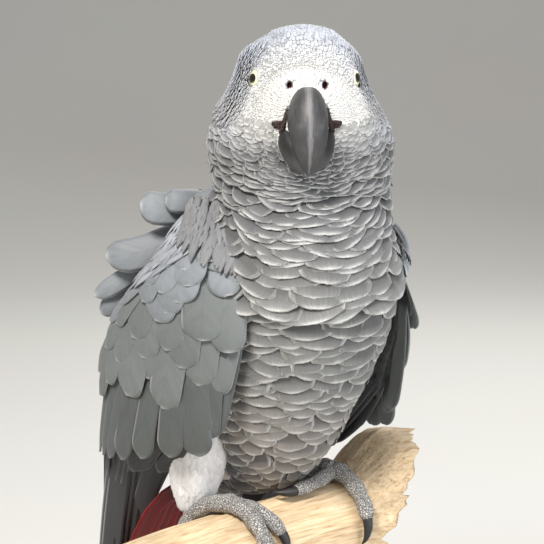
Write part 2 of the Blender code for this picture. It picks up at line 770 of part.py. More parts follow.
def make_thigh(side, ankle, foot, body_seat):
    """The feathered lower leg, from inside the flank to the ankle."""
    thigh = loft(f"thigh_{side}", thigh_rings(side, ankle), white_down)
    cutter = loft(f"thigh_seat_{side}", thigh_rings(side, ankle, GAP), helper=True)
    join_boolean(foot, cutter, "DIFFERENCE")
    join_boolean(thigh, body_seat, "DIFFERENCE")


# ---------------------------------------------------------------- build

for old in list(bpy.data.objects):
    bpy.data.objects.remove(old)
parrot = bpy.data.collections.new("grey_parrot")
cutters = bpy.data.collections.new("cutters")
bpy.context.scene.collection.children.link(parrot)
bpy.context.scene.collection.children.link(cutters)
cutters.hide_render = True

plumage = material("grey_plumage", (0.42, 0.43, 0.44), 0.8)
white_down = material("white_plumage", (0.75, 0.75, 0.77), 0.8)
vane = material("grey_vane", (0.2, 0.21, 0.22), 0.7)
crimson = material("red_vane", (0.4, 0.01, 0.01), 0.7)
horn = material("bill_horn", (0.06, 0.06, 0.065), 0.4)
claw_horn = material("claw_horn", (0.03, 0.03, 0.03), 0.4)
eye_colour = material("eye_glass", (0.8, 0.77, 0.5), 0.1)
scale_skin = material("scaly_skin", (0.55, 0.55, 0.56), 0.6)
wood = material("branch_wood", (0.7, 0.5, 0.28), 0.7)
lacquer = material("base_lacquer", (0.02, 0.02, 0.02), 0.4)
steel = material("rod_steel", (0.5, 0.5, 0.5), 0.35, 1.0)

flesh = make_flesh()
body_lower = body_cutter("body_seat", 112.0, VENT)
grip_room = body_cutter("grip_room", 62.0, VENT, 3 * GAP)
body_upper = body_cutter("neck_seat", 139.0, 108.0)
make_head(flesh["head"], flesh["neck"])
make_perch()
perch_seat = loft("perch_seat", perch_rings(inflate=GAP), helper=True)
join_boolean(flesh["belly"], perch_seat, "DIFFERENCE")
for side_name in FEET:
    make_leg(side_name, perch_seat, grip_room)
thigh_seats = tuple(bpy.data.objects[f"thigh_seat_{s}"] for s in FEET)
make_wings((body_lower, body_upper, perch_seat, *thigh_seats))
make_scapulars((body_lower, body_upper))
make_tail((grip_room,))
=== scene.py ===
import math

import bpy
import numpy as np
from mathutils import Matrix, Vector
from mathutils.bvhtree import BVHTree


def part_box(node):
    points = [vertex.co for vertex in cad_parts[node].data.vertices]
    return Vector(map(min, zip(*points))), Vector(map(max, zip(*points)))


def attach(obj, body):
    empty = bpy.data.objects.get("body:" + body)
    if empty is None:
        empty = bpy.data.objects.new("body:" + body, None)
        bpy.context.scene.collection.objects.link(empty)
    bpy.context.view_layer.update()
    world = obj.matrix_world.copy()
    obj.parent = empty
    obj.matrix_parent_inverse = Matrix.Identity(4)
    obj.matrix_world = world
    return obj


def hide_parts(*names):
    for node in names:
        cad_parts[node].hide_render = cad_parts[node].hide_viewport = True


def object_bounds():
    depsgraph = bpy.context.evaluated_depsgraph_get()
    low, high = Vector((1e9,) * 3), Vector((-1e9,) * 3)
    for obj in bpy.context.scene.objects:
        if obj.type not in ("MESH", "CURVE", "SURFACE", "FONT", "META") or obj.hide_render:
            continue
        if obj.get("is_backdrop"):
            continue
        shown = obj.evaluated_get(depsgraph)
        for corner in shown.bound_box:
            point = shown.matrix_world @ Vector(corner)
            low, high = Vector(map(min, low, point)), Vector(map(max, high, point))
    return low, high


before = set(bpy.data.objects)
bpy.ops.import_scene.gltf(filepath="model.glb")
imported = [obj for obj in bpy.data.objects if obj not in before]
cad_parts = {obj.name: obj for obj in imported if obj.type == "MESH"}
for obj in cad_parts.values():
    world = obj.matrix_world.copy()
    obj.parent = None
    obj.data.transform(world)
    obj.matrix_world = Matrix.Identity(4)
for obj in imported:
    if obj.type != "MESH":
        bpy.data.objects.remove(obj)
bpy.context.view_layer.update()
bpy.ops.object.select_all(action="DESELECT")  # the frame's nodes arrive selected
bpy.context.scene.cursor.location = (0, 0, 0)
mm = 0.001
chance = np.random.default_rng(7)

# The level of the branch's crown under the feet, and which way the trunk, the head and the branch point
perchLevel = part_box("stand_base")[1].z + 121 * mm
trunkTurn, headTurn, branchTurn = math.radians(35), math.radians(4), math.radians(40)
crown = np.array((0, 0, perchLevel))  # the branch's crown in the middle
headMiddle = np.array(Vector((6.9 * mm, 0, perchLevel)))


def spread(vectors):
    return np.asarray(vectors, float)


def facing(turn):
    # forward and leftward for a bird that faces that way
    return spread((math.sin(turn), -math.cos(turn), 0)), spread((math.cos(turn), math.sin(turn), 0))


def headPlace(forwardBy, leftBy, height):
    # millimetres in the head's own directions, to metres in the row
    forward, left = facing(headTurn)
    return headMiddle + (forward * forwardBy + left * leftBy + spread((0, 0, height))) * mm


def levelOf(points):
    # millimetres over the branch's crown
    return (points[..., 2] - perchLevel) / mm


def smooth(low, high, value):
    t = np.clip((np.asarray(value, float) - low) / (high - low), 0, 1)
    return t * t * (3 - 2 * t)


def unit(vectors):
    return vectors / np.maximum(np.linalg.norm(vectors, axis=-1, keepdims=True), 1e-12)


def curveThrough(table, at):
    # smooth values between the rows of a table, whose first column rises or falls
    rows = spread(sorted(table))
    at = np.atleast_1d(spread(at))
    spots, values = rows[:, 0], rows[:, 1:]
    slopes = np.gradient(values, spots, axis=0)
    left = np.clip(np.searchsorted(spots, at) - 1, 0, len(spots) - 2)
    span = spots[left + 1] - spots[left]
    t = np.clip((at - spots[left]) / span, 0, 1)[:, None]
    span = span[:, None]
    return ((2 * t**3 - 3 * t**2 + 1) * values[left] + (t**3 - 2 * t**2 + t) * span * slopes[left]
            + (3 * t**2 - 2 * t**3) * values[left + 1] + (t**3 - t**2) * span * slopes[left + 1])


# Colour and nodes

def toLinear(hexColour):
    parts = [int(hexColour[i:i + 2], 16) / 255 for i in (1, 3, 5)]
    return tuple(p / 12.92 if p <= 0.04045 else ((p + 0.055) / 1.055) ** 2.4 for p in parts) + (1.0,)


def pigment(hexColour):
    return spread(toLinear(hexColour)[:3])


def addNode(tree, kind, settings=None, **links):
    # a node with its properties, socket values, colour stops and links
    node = tree.nodes.new("ShaderNode" + kind)
    for key, value in (settings or {}).items():
        if key == "stops":
            stops = node.color_ramp.elements
            while len(stops) < len(value):
                stops.new(0.5)
            for stop, (place, colour) in zip(stops, value):
                stop.position = place
                stop.color = toLinear(colour) if isinstance(colour, str) else (colour, colour, colour, 1)
        elif isinstance(key, str) and hasattr(node, key):
            setattr(node, key, value)
        else:
            node.inputs[key].default_value = value
    return linkTo(tree, node, **links)


def linkTo(tree, node, **links):
    # pin6 is the seventh input; a node given as a source stands for its first live output
    for key, source in links.items():
        socket = node.inputs[int(key[3:])] if key.startswith("pin") else node.inputs[key.replace("_", " ")]
        if hasattr(source, "outputs"):
            source = next(output for output in source.outputs if output.enabled)
        tree.links.new(source, socket)
    return node


multiplied = {"data_type": "RGBA", "blend_type": "MULTIPLY", "Factor": 1.0}  # one colour dims another


def newMaterial(name, roughness, metallic=0.0, ior=1.5, **settings):
    made = bpy.data.materials.new(name)
    made.use_nodes = True
    shader = made.node_tree.nodes["Principled BSDF"]
    shader.inputs["Roughness"].default_value = roughness
    shader.inputs["Metallic"].default_value = metallic
    shader.inputs["IOR"].default_value = ior
    for key, value in settings.items():
        shader.inputs[key.replace("_", " ")].default_value = value
    return made, made.node_tree, shader


# Pieces

def pieceFrom(name, points, faces, material, body="root"):
    mesh = bpy.data.meshes.new(name)
    points = spread(points)
    mesh.from_pydata(points.tolist(), [], [tuple(int(i) for i in f) for f in faces])
    mesh.update()
    made = bpy.data.objects.new(name, mesh)
    bpy.context.scene.collection.objects.link(made)
    mesh.materials.append(material)
    mesh.shade_smooth()
    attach(made, body)
    return made


def settle(made, name, material, body="root"):
    # a piece made with operators: applied, named, coloured and put on its body
    only(made)
    bpy.ops.object.transform_apply(location=True, rotation=True, scale=True)
    made.name = made.data.name = name
    made.data.materials.clear()
    made.data.materials.append(material)
    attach(made, body)
    return made


def only(made):
    bpy.ops.object.select_all(action="DESELECT")
    made.select_set(True)
    bpy.context.view_layer.objects.active = made


def outwardOnly(made):
    only(made)
    bpy.ops.object.mode_set(mode="EDIT")
    bpy.ops.mesh.select_all(action="SELECT")
    bpy.ops.mesh.normals_make_consistent(inside=False)
    bpy.ops.object.mode_set(mode="OBJECT")


def applyModifier(made, kind, **settings):
    modifier = made.modifiers.new(kind.title(), kind)
    for key, value in settings.items():
        setattr(modifier, key, value)
    only(made)
    bpy.ops.object.modifier_apply(modifier=modifier.name)


def ringForm(rings):
    # a sphere whose rings of points are moved to the given rings, and its poles to their middles
    rings = spread(rings)
    rows, around = rings.shape[:2]
    bpy.ops.mesh.primitive_uv_sphere_add(segments=around, ring_count=rows + 1, radius=1, location=(0, 0, 0))
    made = bpy.context.active_object
    spots = meshPoints(made.data)
    level = np.rint(np.arccos(np.clip(spots[:, 2], -1, 1)) / math.pi * (rows + 1)).astype(int)
    turn = np.rint(np.arctan2(spots[:, 1], spots[:, 0]) / (2 * math.pi) * around).astype(int) % around
    places = rings[np.clip(level - 1, 0, rows - 1), turn]
    places[level == 0], places[level == rows + 1] = rings[0].mean(0), rings[-1].mean(0)
    movePoints(made.data, places)
    outwardOnly(made)
    bpy.ops.object.shade_smooth()
    return made


def tubeForm(path, radii, around):
    # a round tube along a path, whose sections are turned as little as they can be
    path = spread(path)
    ways = unit(np.gradient(path, axis=0))
    side = unit(np.cross(ways[0], (0.3, 0.2, 0.9)))
    turns = np.arange(around) * 2 * math.pi / around
    rings = []
    for place, way, radius in zip(path, ways, radii):
        side = unit(side - way * (side @ way))
        other = np.cross(way, side)
        rings.append(place + radius * (np.outer(np.cos(turns), side) + np.outer(np.sin(turns), other)))
    return ringForm(rings)


def joinPieces(pieces):
    bpy.ops.object.select_all(action="DESELECT")
    for piece in pieces:
        piece.select_set(True)
    bpy.context.view_layer.objects.active = pieces[0]
    bpy.ops.object.join()
    return bpy.context.view_layer.objects.active


def setValue(mesh, name, values):
    layer = mesh.attributes.new(name, "FLOAT", "POINT")
    layer.data.foreach_set("value", spread(values).astype(np.float32))


def setColours(mesh, name, colours):
    layer = mesh.color_attributes.new(name, "FLOAT_COLOR", "POINT")
    rgba = np.ones((len(mesh.vertices), 4), np.float32)
    rgba[:, :3] = colours
    layer.data.foreach_set("color", rgba.ravel())


def setMap(mesh, name, places):
    # a UV map from one place per vertex
    layer = mesh.uv_layers.new(name=name)
    corners = np.empty(len(mesh.loops), np.int32)
    mesh.loops.foreach_get("vertex_index", corners)
    layer.data.foreach_set("uv", spread(places)[corners].astype(np.float32).ravel())


def meshPoints(mesh):
    points = np.empty(len(mesh.vertices) * 3, np.float32)
    mesh.vertices.foreach_get("co", points)
    return points.reshape(-1, 3).astype(float)


def movePoints(mesh, points):
    mesh.vertices.foreach_set("co", points.astype(np.float32).ravel())
    mesh.update()


def meshNormals(mesh):
    normals = np.empty(len(mesh.vertices) * 3, np.float32)
    mesh.vertex_normals.foreach_get("vector", normals)
    return normals.reshape(-1, 3).astype(float)


# The plumage's markings, shared by the skin and every feather on it

plumage = {
    "face": "#fbfbf8", "crown": "#bec6d6", "cheek": "#b6b8c0", "neck": "#7d7e81", "breast": "#949594",
    "belly": "#aaa49f", "back": "#7c7f83", "thigh": "#e9e9ec", "rump": "#b3b4b7",
}
billRoot = headPlace(33, 0, 165)  # feathers lie away from here


def fromBill(points):
    return np.linalg.norm(points - billRoot, axis=1) / mm


def plumageTone(points):
    # linear colours of the coat at places on the body
    points = spread(points)
    height, away = levelOf(points), fromBill(points)
    headForward = (points - headMiddle) @ facing(headTurn)[0] / mm
    bodyForward = points @ facing(trunkTurn)[0] / mm
    colours = np.tile(pigment(plumage["neck"]), (len(points), 1))
    for key, share in (  # each colour covers the one before by its share
            ("breast", smooth(125, 90, height)), ("belly", smooth(60, 20, height)),
            ("back", smooth(4, -16, bodyForward) * smooth(175, 150, height)),
            ("rump", smooth(-30, -42, bodyForward) * smooth(40, 15, height)),
            ("crown", smooth(158, 176, height)),
            ("cheek", smooth(148, 160, height) * smooth(172, 162, height)),
            ("face", smooth(36, 17, away) * smooth(8, 14, headForward) * smooth(149, 160, height))):
        colours = colours + (pigment(plumage[key]) - colours) * share[:, None]
    return colours


# The skin: one closed form in place of the nodes of flesh

skinLook = {
    "nodes": ("head", "neck", "breast", "belly", "thigh_left", "thigh_right", "tail_coverts"),
    "grain": 1.5 * mm,  # size of the skin's faces
    "smoothing": 14,
}


def coatDepth(points):
    # how far the skin lies below the coat's outer surface
    height = levelOf(points)
    depth = 0.5 + 1.1 * smooth(16, 36, fromBill(points)) + 3.2 * smooth(164, 138, height)
    return (depth - 1.4 * smooth(14, 0, height)) * mm


def nearNode(points, reach, *names):
    # which points are within reach of these nodes' surfaces
    near = np.zeros(len(points), bool)
    for name in names:
        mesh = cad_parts[name].data
        tree = BVHTree.FromPolygons([v.co for v in mesh.vertices],
                                    [tuple(p.vertices) for p in mesh.polygons])
        near |= np.array([tree.find_nearest(Vector(p))[3] < reach for p in points], bool)
    return near


def makeSkin():
    bpy.ops.object.select_all(action="DESELECT")
    for name in (*skinLook["nodes"], "bill_upper", "bill_lower", "eye_left", "eye_right"):
        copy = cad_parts[name].copy()  # the bill and eyes only fill their seats
        copy.data = copy.data.copy()
        copy.parent = None
        for key in list(copy.keys()):
            del copy[key]
        bpy.context.scene.collection.objects.link(copy)
        copy.select_set(True)
        bpy.context.view_layer.objects.active = copy
    bpy.ops.object.join()
    made = bpy.context.view_layer.objects.active
    applyModifier(made, "WELD", merge_threshold=0.01 * mm)
    applyModifier(made, "REMESH", mode="VOXEL", voxel_size=skinLook["grain"])
    applyModifier(made, "SMOOTH", factor=0.5, iterations=skinLook["smoothing"])
    made.name = made.data.name = "skin"
    return made


print("skin")
skin = makeSkin()
outerPoints, outerNormals = meshPoints(skin.data), meshNormals(skin.data)
onThigh = nearNode(outerPoints, 1.0 * mm, "thigh_left", "thigh_right")
skinDepth = np.where(onThigh, 1.8 * mm, coatDepth(outerPoints))
skinPoints = outerPoints - outerNormals * skinDepth[:, None]
movePoints(skin.data, skinPoints)
applyModifier(skin, "SMOOTH", factor=0.5, iterations=4)
skinPoints, skinNormals = meshPoints(skin.data), meshNormals(skin.data)


# the body's leaning axis: levels, then how far right and back it is there
bodyAxis = (((-60, 0, 60, 100, 201), (-34, -10, 2, 9, 8)),
            ((-60, 0, 60, 100, 150, 201), (46, 22, 6, -1, -3, -12)))


def axisAt(height):
    return [np.interp(height, levels, places) * mm for levels, places in bodyAxis]


def unwrapPlace(points):
    # the skin's own unwrap: round the body's leaning axis, and up it
    height = levelOf(points)
    axisX, axisY = axisAt(height)
    around = np.arctan2(points[:, 0] - axisX, -(points[:, 1] - axisY)) / (2 * math.pi) + 0.5
    return np.stack([0.02 + 0.96 * around, 0.02 + 0.96 * (height + 60) / 262], axis=1)


def makeSkinMaterial():
    # bare bird skin under down: matt, finely pimpled where the feathers root
    made, tree, shader = newMaterial("downySkin", 0.75, ior=1.4)
    colour = addNode(tree, "Attribute", {"attribute_name": "tone"})
    where = addNode(tree, "TexCoord").outputs["Object"]
    pimples = addNode(tree, "TexNoise", {"Scale": 900.0, "Detail": 2.0}, Vector=where)
    shade = addNode(tree, "Mix", multiplied | {"Factor": 0.35}, pin6=colour, pin7=pimples.outputs["Color"])
    relief = addNode(tree, "Bump", {"Distance": 0.3 * mm}, Height=pimples)
    linkTo(tree, shader, Base_Color=shade, Normal=relief)
    return made


skinMaterial = makeSkinMaterial()
skin.data.materials.clear()
skin.data.materials.append(skinMaterial)
skin.data.shade_smooth()
# the skin's colour is halved, painted shade in the gaps between the feathers, save near the bill and on the
# head
nearBill = smooth(46, 32, fromBill(outerPoints))
nearBill = np.maximum(nearBill, 0.8 * smooth(152, 166, levelOf(outerPoints)))
skinTone = plumageTone(outerPoints) * (0.5 + 0.5 * nearBill)[:, None]
skinTone[onThigh] = pigment(plumage["thigh"])
setColours(skin.data, "tone", skinTone)
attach(skin, "root")
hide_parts(*skinLook["nodes"])
skinTree = BVHTree.FromPolygons([Vector(p) for p in skinPoints],
                                [tuple(p.vertices) for p in skin.data.polygons])
faceCorners = [np.array(p.vertices) for p in skin.data.polygons]
faceNormals = unit(spread([skinNormals[c].mean(0) for c in faceCorners]))


def ontoSkin(points):
    # the nearest skin point to each, with the skin's soft normal there
    places, normals = np.empty_like(points), np.empty_like(points)
    for i, point in enumerate(points):
        near, _, face, _ = skinTree.find_nearest(Vector(point))
        places[i], normals[i] = near, faceNormals[face]
    return places, normals


# Small feathers: closed vanes that share one net of points, bent over the skin

def featherNet(rows, columns, tipStart=0.72, rootWidth=0.35, bluntness=2.4, wideAt=0.5):
    # places along and across a vane, for its top and its underside, which share the rim
    endRows = rows // 2
    body = np.linspace(0, tipStart, rows - endRows + 1)[:-1]
    end = tipStart + (1 - tipStart) * np.sin(np.linspace(0, 1, endRows + 1) * math.pi / 2)
    top, order = [], {}
    for r, a in enumerate(np.concatenate([body, end])):
        for c in range(columns + 1):
            b = 2 * c / columns - 1
            narrow = rootWidth + (1 - rootWidth) * math.sin(min(a / wideAt, 1) * math.pi / 2)
            taper = 1.0
            if a > tipStart:
                taper = max(0.0, 1 - ((a - tipStart) / (1 - tipStart)) ** bluntness) ** (1 / bluntness)
            top.append((a, b * narrow * max(taper, 0.18), b))
            order[r, c] = len(top) - 1
    under = {}
    for (r, c), index in order.items():
        rim = r in (0, rows) or c in (0, columns)
        under[r, c] = index if rim else len(top) + len([1 for v in under.values() if v >= len(order)])
    inner = [key for key in order if under[key] >= len(order)]
    points = top + [top[order[key]] for key in inner]
    lower = np.zeros(len(points))
    lower[len(top):] = 1
    faces = []
    for r in range(rows):
        for c in range(columns):
            ring = ((r, c), (r + 1, c), (r + 1, c + 1), (r, c + 1))
            faces.append([order[k] for k in ring])
            faces.append([under[k] for k in reversed(ring)])
    return spread(points), lower, np.array(faces)


def alongSkin(flows, normals):
    return unit(flows - normals * np.sum(flows * normals, axis=1)[:, None])


def featherPiece(name, material, net, points, patches, tones):
    # one mesh of many vanes: a map over each vane, a patch for baking, a tone and a chance for each
    shape, _, faces = net
    count, size, along, side = len(tones), len(shape), shape[:, 0], shape[:, 2]
    allFaces = faces[None] + (np.arange(count) * size)[:, None, None]
    made = pieceFrom(name, points.reshape(-1, 3), allFaces.reshape(-1, 4), material)
    setMap(made.data, "vane", np.stack([np.tile((side + 1) / 2, count), np.tile(along, count)], axis=1))
    patches = patches[:, None, :] + 0.003 * np.stack([side / 2, along - 0.5], axis=1)[None] * 0.9
    setMap(made.data, "OFBake", patches.reshape(-1, 2))
    setColours(made.data, "tone", np.repeat(tones, size, axis=0))
    setValue(made.data, "turn", np.repeat(chance.random(count), size))
    print(name, count, "feathers,", len(made.data.polygons) * 2, "triangles")
    return made


def growFeathers(name, material, net, roots, flows, lengths, widths, rootLift, tipLift, tones,
                 cup=0.12, thickness=0.25, fray=0.0, curl=0.0):
    # many vanes as one mesh: roots and flows on the skin, sizes and lifts in millimetres
    shape, lower, _ = net
    count, size = len(roots), len(shape)
    places, normals = ontoSkin(roots)
    flows = alongSkin(flows, normals)
    sides = np.cross(flows, normals)
    along, across, side = shape[:, 0], shape[:, 1], shape[:, 2]
    ragged = along[None, :] + fray * chance.normal(size=(count, size)) * smooth(0.6, 1.0, along)[None, :]
    flat = (places[:, None, :] + flows[:, None, :] * (ragged * lengths[:, None] * mm)[..., None]
            + sides[:, None, :] * (across[None, :] * widths[:, None] / 2 * mm)[..., None])
    near, softNormals = ontoSkin(flat.reshape(-1, 3))
    near, softNormals = near.reshape(count, size, 3), softNormals.reshape(count, size, 3)
    rise = rootLift[:, None] + (tipLift - rootLift)[:, None] * along[None, :] ** 1.4
    rise = rise - cup * widths[:, None] * (side**2)[None, :] * smooth(0.15, 0.6, along)[None, :]
    rise = rise - curl * lengths[:, None] * (smooth(0.72, 1.0, along) ** 2)[None, :]
    rise = rise - thickness * lower[None, :]
    points = near + softNormals * np.maximum(rise, 0.05)[..., None] * mm
    return featherPiece(name, material, net, points, unwrapPlace(places), tones)


def vaneParts(tree):
    # a vane's tone, its place along, and the place across as signed and as plain distance from the shaft
    tone = addNode(tree, "Attribute", {"attribute_name": "tone"})
    place = addNode(tree, "SeparateXYZ", Vector=addNode(tree, "UVMap", {"uv_map": "vane"}))
    signed = addNode(tree, "Math", {"operation": "MULTIPLY_ADD", 1: 2.0, 2: -1.0}, pin0=place)
    return tone, place.outputs["Y"], signed, addNode(tree, "Math", {"operation": "ABSOLUTE"}, pin0=signed)


def nearEdge(tree, along, out, sidePower, tipPower):
    # 1 at a vane's rim: the higher the powers, the thinner the rim
    sides = addNode(tree, "Math", {"operation": "POWER", 1: sidePower}, pin0=out)
    tip = addNode(tree, "Math", {"operation": "POWER", 1: tipPower}, pin0=along)
    return addNode(tree, "Math", {"operation": "MAXIMUM"}, pin0=sides, pin1=tip)


def makeVaneMaterial(name, rim, rimStrength, shadedRoot, barbScale, relief=0.15):
    # contour feather: soft matt barbs that fan forward from the shaft; pale at the edge, partly its own
    # worn fringe and partly painted highlight, and darker towards the root as painted shade under the row
    # above
    made, tree, shader = newMaterial(name, 0.72, ior=1.45, Sheen_Weight=0.25, Sheen_Roughness=0.5)
    tone, along, _, out = vaneParts(tree)
    turn = addNode(tree, "Attribute", {"attribute_name": "turn"}).outputs["Fac"]
    edge = nearEdge(tree, along, out, 8.0, 15.0)
    slant = addNode(tree, "Math", {"operation": "MULTIPLY_ADD", 1: -0.4}, pin0=along, pin2=out)
    lane = addNode(tree, "CombineXYZ", X=slant, Y=turn)
    barbs = addNode(tree, "TexNoise", {"Scale": barbScale, "Detail": 3.0, "Roughness": 0.7}, Vector=lane)
    ragged = addNode(tree, "Math", {"operation": "MULTIPLY_ADD", 1: 0.5, 2: -0.25}, pin0=barbs)
    worn = addNode(tree, "Math", {"operation": "ADD", "use_clamp": True}, pin0=edge, pin1=ragged)
    # the pale rim: the feather's own pale fringe, brightened further as a painted highlight where the rim
    # catches the light
    mask = addNode(tree, "ValToRGB", {"stops": ((0.12, 0.0), (0.75, rimStrength))}, Fac=worn)
    # darker towards the root: painted shade where the row above overlaps
    dark = addNode(tree, "ValToRGB", {"stops": ((0.66, shadedRoot), (0.95, 0.9))}, Fac=along)
    dim = addNode(tree, "Mix", multiplied, pin6=tone, pin7=dark)
    lighten = addNode(tree, "Mix", {"data_type": "RGBA", "Factor": 0.75, 7: toLinear(rim)}, pin6=tone)
    pale = addNode(tree, "Mix", {"data_type": "RGBA"}, pin0=mask, pin6=dim, pin7=lighten)
    streak = addNode(tree, "ValToRGB", {"stops": ((0.3, 0.72), (0.7, 1.1))}, Fac=barbs)
    final = addNode(tree, "Mix", multiplied, pin6=pale, pin7=streak)
    raised = addNode(tree, "Bump", {"Distance": relief * mm, "Strength": 0.6}, Height=barbs)
    linkTo(tree, shader, Base_Color=final, Normal=raised)
    return made


# The wing's own curved surface, which the breast's side feathers and the wing's vanes lie on

wingLook = {
    # level, front edge forward, outward, width
    "rows": ((122, -9, 33, 10), (112, 4, 37, 26), (100, 13, 38.5, 42), (83, 18, 39.5, 61), (66, 16, 40, 68),
             (50, 10, 40, 69), (33, 5, 42, 64), (18, -2, 44, 58), (8, -24, 43.5, 44), (0, -40, 42, 34),
             (-20, -57, 38, 26), (-50, -75, 35, 19), (-86, -95, 34, 10)),
    "bulge": 7.0, "tuck": 5.0, "top": 122, "span": 208,
    # shifts of the shoulder and the tip, forward and outward; patch is the wing's place on the baked sheet
    # the last value brightens the colour of a wing's large vanes: painted light on the left wing, which
    # lies in the body's shade
    "right": {"side": -1, "splay": 15, "shoulder": (0, 0), "tip": (0, 0), "patch": 0.6, "paintedLight": 1},
    "left": {"side": 1, "splay": -18, "shoulder": (8, 16.5), "tip": (-12, 14), "patch": 0.1, "paintedLight": 2.3},
    "lesser": "#9599a0", "median": "#7c8186", "greater": "#686d6d",
    "secondary": "#525656", "primary": "#2e3032", "rim": "#c9cbcd",
}


def wingRows(wing, height):
    # a wing's front edge forward, its distance out and its width at some levels
    side, rows = wingLook[wing], curveThrough(wingLook["rows"], height)
    lowness = (wingLook["top"] - height) / wingLook["span"]
    forwardAt = rows[:, 0] + side["shoulder"][0] * (1 - lowness) + side["tip"][0] * lowness
    outAt = rows[:, 1] + side["shoulder"][1] * (1 - lowness) + side["tip"][1] * lowness
    return forwardAt, outAt, rows[:, 2]


def wingSurface(wing, height, share, lift=0.0):
    # places on a wing's outer face, share from its front edge to its rear one, lift outward in mm
    height, share = np.atleast_1d(spread(height)), np.atleast_1d(spread(share))
    forwardAt, outAt, width = wingRows(wing, height)
    outAt = outAt - wingLook["tuck"] * smooth(0.25, -0.05, share) * smooth(66, 90, height)
    forward, left = facing(trunkTurn)
    out = left * wingLook[wing]["side"]
    splay = math.radians(wingLook[wing]["splay"])
    rearward = -math.cos(splay) * forward + math.sin(splay) * out
    outward = math.sin(splay) * forward * -1 + math.cos(splay) * out
    bulge = wingLook["bulge"] * 4 * share * (1 - share) * np.minimum(1, width / 50)
    flat = (np.outer(forwardAt - bulge * math.sin(splay), forward) + np.outer(outAt + bulge, out)
            + np.outer(share * width, rearward) + np.outer(height, (0, 0, 1)))
    return (flat + np.outer(np.ones(len(height)) * lift, outward)) * mm + crown


def liftOverWing(points):
    # how far a breast feather must rise to lie over the wing's front edge, in millimetres
    height = levelOf(points)
    forward, left = facing(trunkTurn)
    needed = np.zeros(len(points))
    for wing in ("left", "right"):
        frontAt, outAt, _ = wingRows(wing, height)
        behind = frontAt - points @ forward / mm  # how far a place is behind the front edge
        out = points @ (left * wingLook[wing]["side"]) / mm
        reach = 11 + 9 * smooth(104, 116, height)
        over = smooth(-12, -1, behind) * smooth(reach, reach - 8, behind) * (height < 128) * (out > 0)
        rise = np.clip(outAt - wingLook["tuck"] * 0.6 - out, 0, 8 + 2 * smooth(104, 116, height))
        needed = np.maximum(needed, over * rise * smooth(72, 88, height))
    return needed


# Body coat: staggered rows that run down the neck, breast, belly and back

bodyCoat = {
    "top": 158.0, "bottom": -10.0,  # front levels of the first and last rows
    "rowStep": ((158, 1.15), (150, 1.4), (145, 1.75), (138, 2.3), (125, 3.0), (105, 3.7), (60, 3.9),
                (0, 3.8)),
    "width": ((158, 2.9), (150, 4.6), (145, 6.6), (138, 9.8), (125, 15.0), (105, 20.0), (40, 18.0),
              (0, 11.0)),
    # rows hang from the cheeks
    "sideRise": ((158, 10.0), (150, 14.5), (141, 18.0), (125, 18.0), (105, 15.0), (85, 8.0), (65, 1.0),
                 (0, 0.0)),
    "overlap": 3.7,  # a vane's length in rows
    "beside": 0.58,  # vanes stand this share of their width apart
    "girth": (28, 37), "girthLevel": 30,  # radii that set a row's count of vanes, below the level and above
    "lift": 0.98,  # tips' height over the skin as a share of the coat's depth
    # more lift at the sides of the neck
    "puff": ((158, 0.3), (150, 1.8), (141, 3.2), (124, 3.2), (110, 1.8), (96, 0.2), (86, 0.0), (0, 0.0)),
    "fold": (81.0, 3.4),  # the breast's lowest row stands over the belly
    # piece, the levels of its roots, and rows of faces on a vane
    "pieces": (("coatThroat", 158, 999, 5), ("coatNeck", 137, 158, 5), ("coatBreast", 100, 137, 6),
               ("coatBelly", -99, 100, 6)),
}


def sideShape(turn):
    # 0 under the bill, 1 at the side and back of the neck
    return smooth(math.radians(12), math.radians(100), np.abs(turn))


def coatAt(key, level):
    return float(curveThrough(bodyCoat[key], level)[0, 0])


def rowPlace(level, turn):
    # the skin's place on a row, at an angle from straight ahead towards the bird's left
    rise = coatAt("sideRise", level)
    height = level + rise * float(sideShape(turn))
    centre = spread((*axisAt(max(height, 0)), 0))
    forward, left = facing(headTurn)
    way = forward * math.cos(turn) + left * math.sin(turn)
    origin = centre + spread((0, 0, perchLevel + height * mm)) + way * 0.1
    hit, _, _, _ = skinTree.ray_cast(Vector(origin), Vector(-way))
    return None if hit is None else spread(hit)


def bodyRoots():
    roots, flows, lengths, widths, lifts = [], [], [], [], []
    level, row = bodyCoat["top"], 0
    while level > bodyCoat["bottom"]:
        step, width = coatAt("rowStep", level), coatAt("width", level)
        girth = 2 * math.pi * bodyCoat["girth"][level > bodyCoat["girthLevel"]]
        count = int(girth / (width * bodyCoat["beside"]))
        start = (row % 2) * 0.5 + chance.normal() * 0.12
        for i in range(count):
            turn = 2 * math.pi * (i + start + chance.normal() * 0.14) / count
            turn = (turn + math.pi) % (2 * math.pi) - math.pi
            tipLevel = level + chance.normal() * step * 0.3
            tip = rowPlace(tipLevel, turn)
            above = rowPlace(min(tipLevel + step * (bodyCoat["overlap"] - 1), bodyCoat["top"] + 12), turn)
            beside = rowPlace(tipLevel, turn + 0.05)
            if tip is None or above is None or beside is None:
                continue
            flow = tip - above
            along = unit(beside - tip)  # a vane lies square to its row
            flow = unit(flow - along * (flow @ along)) + along * chance.normal() * 0.14
            long = step * bodyCoat["overlap"] * (1 + chance.normal() * 0.06)
            roots.append(tip - flow * long * mm)
            flows.append(flow)
            lengths.append(long)
            widths.append(width * (1 + chance.normal() * 0.15))
            puff = coatAt("puff", tipLevel) * float(sideShape(turn))
            foldLevel, foldLift = bodyCoat["fold"]
            if level > foldLevel:
                near = smooth(foldLevel + 17, foldLevel + 2, level) * smooth(1.9, 0.8, abs(turn))
                puff += foldLift * float(near)
            depth = float(coatDepth(tip[None])[0]) / mm * bodyCoat["lift"]
            over = float(liftOverWing(tip[None])[0])
            lifts.append(max(depth + puff, over) + chance.normal() * 0.3)
        level -= step
        row += 1
    return [spread(part) for part in (roots, flows, lengths, widths, lifts)]


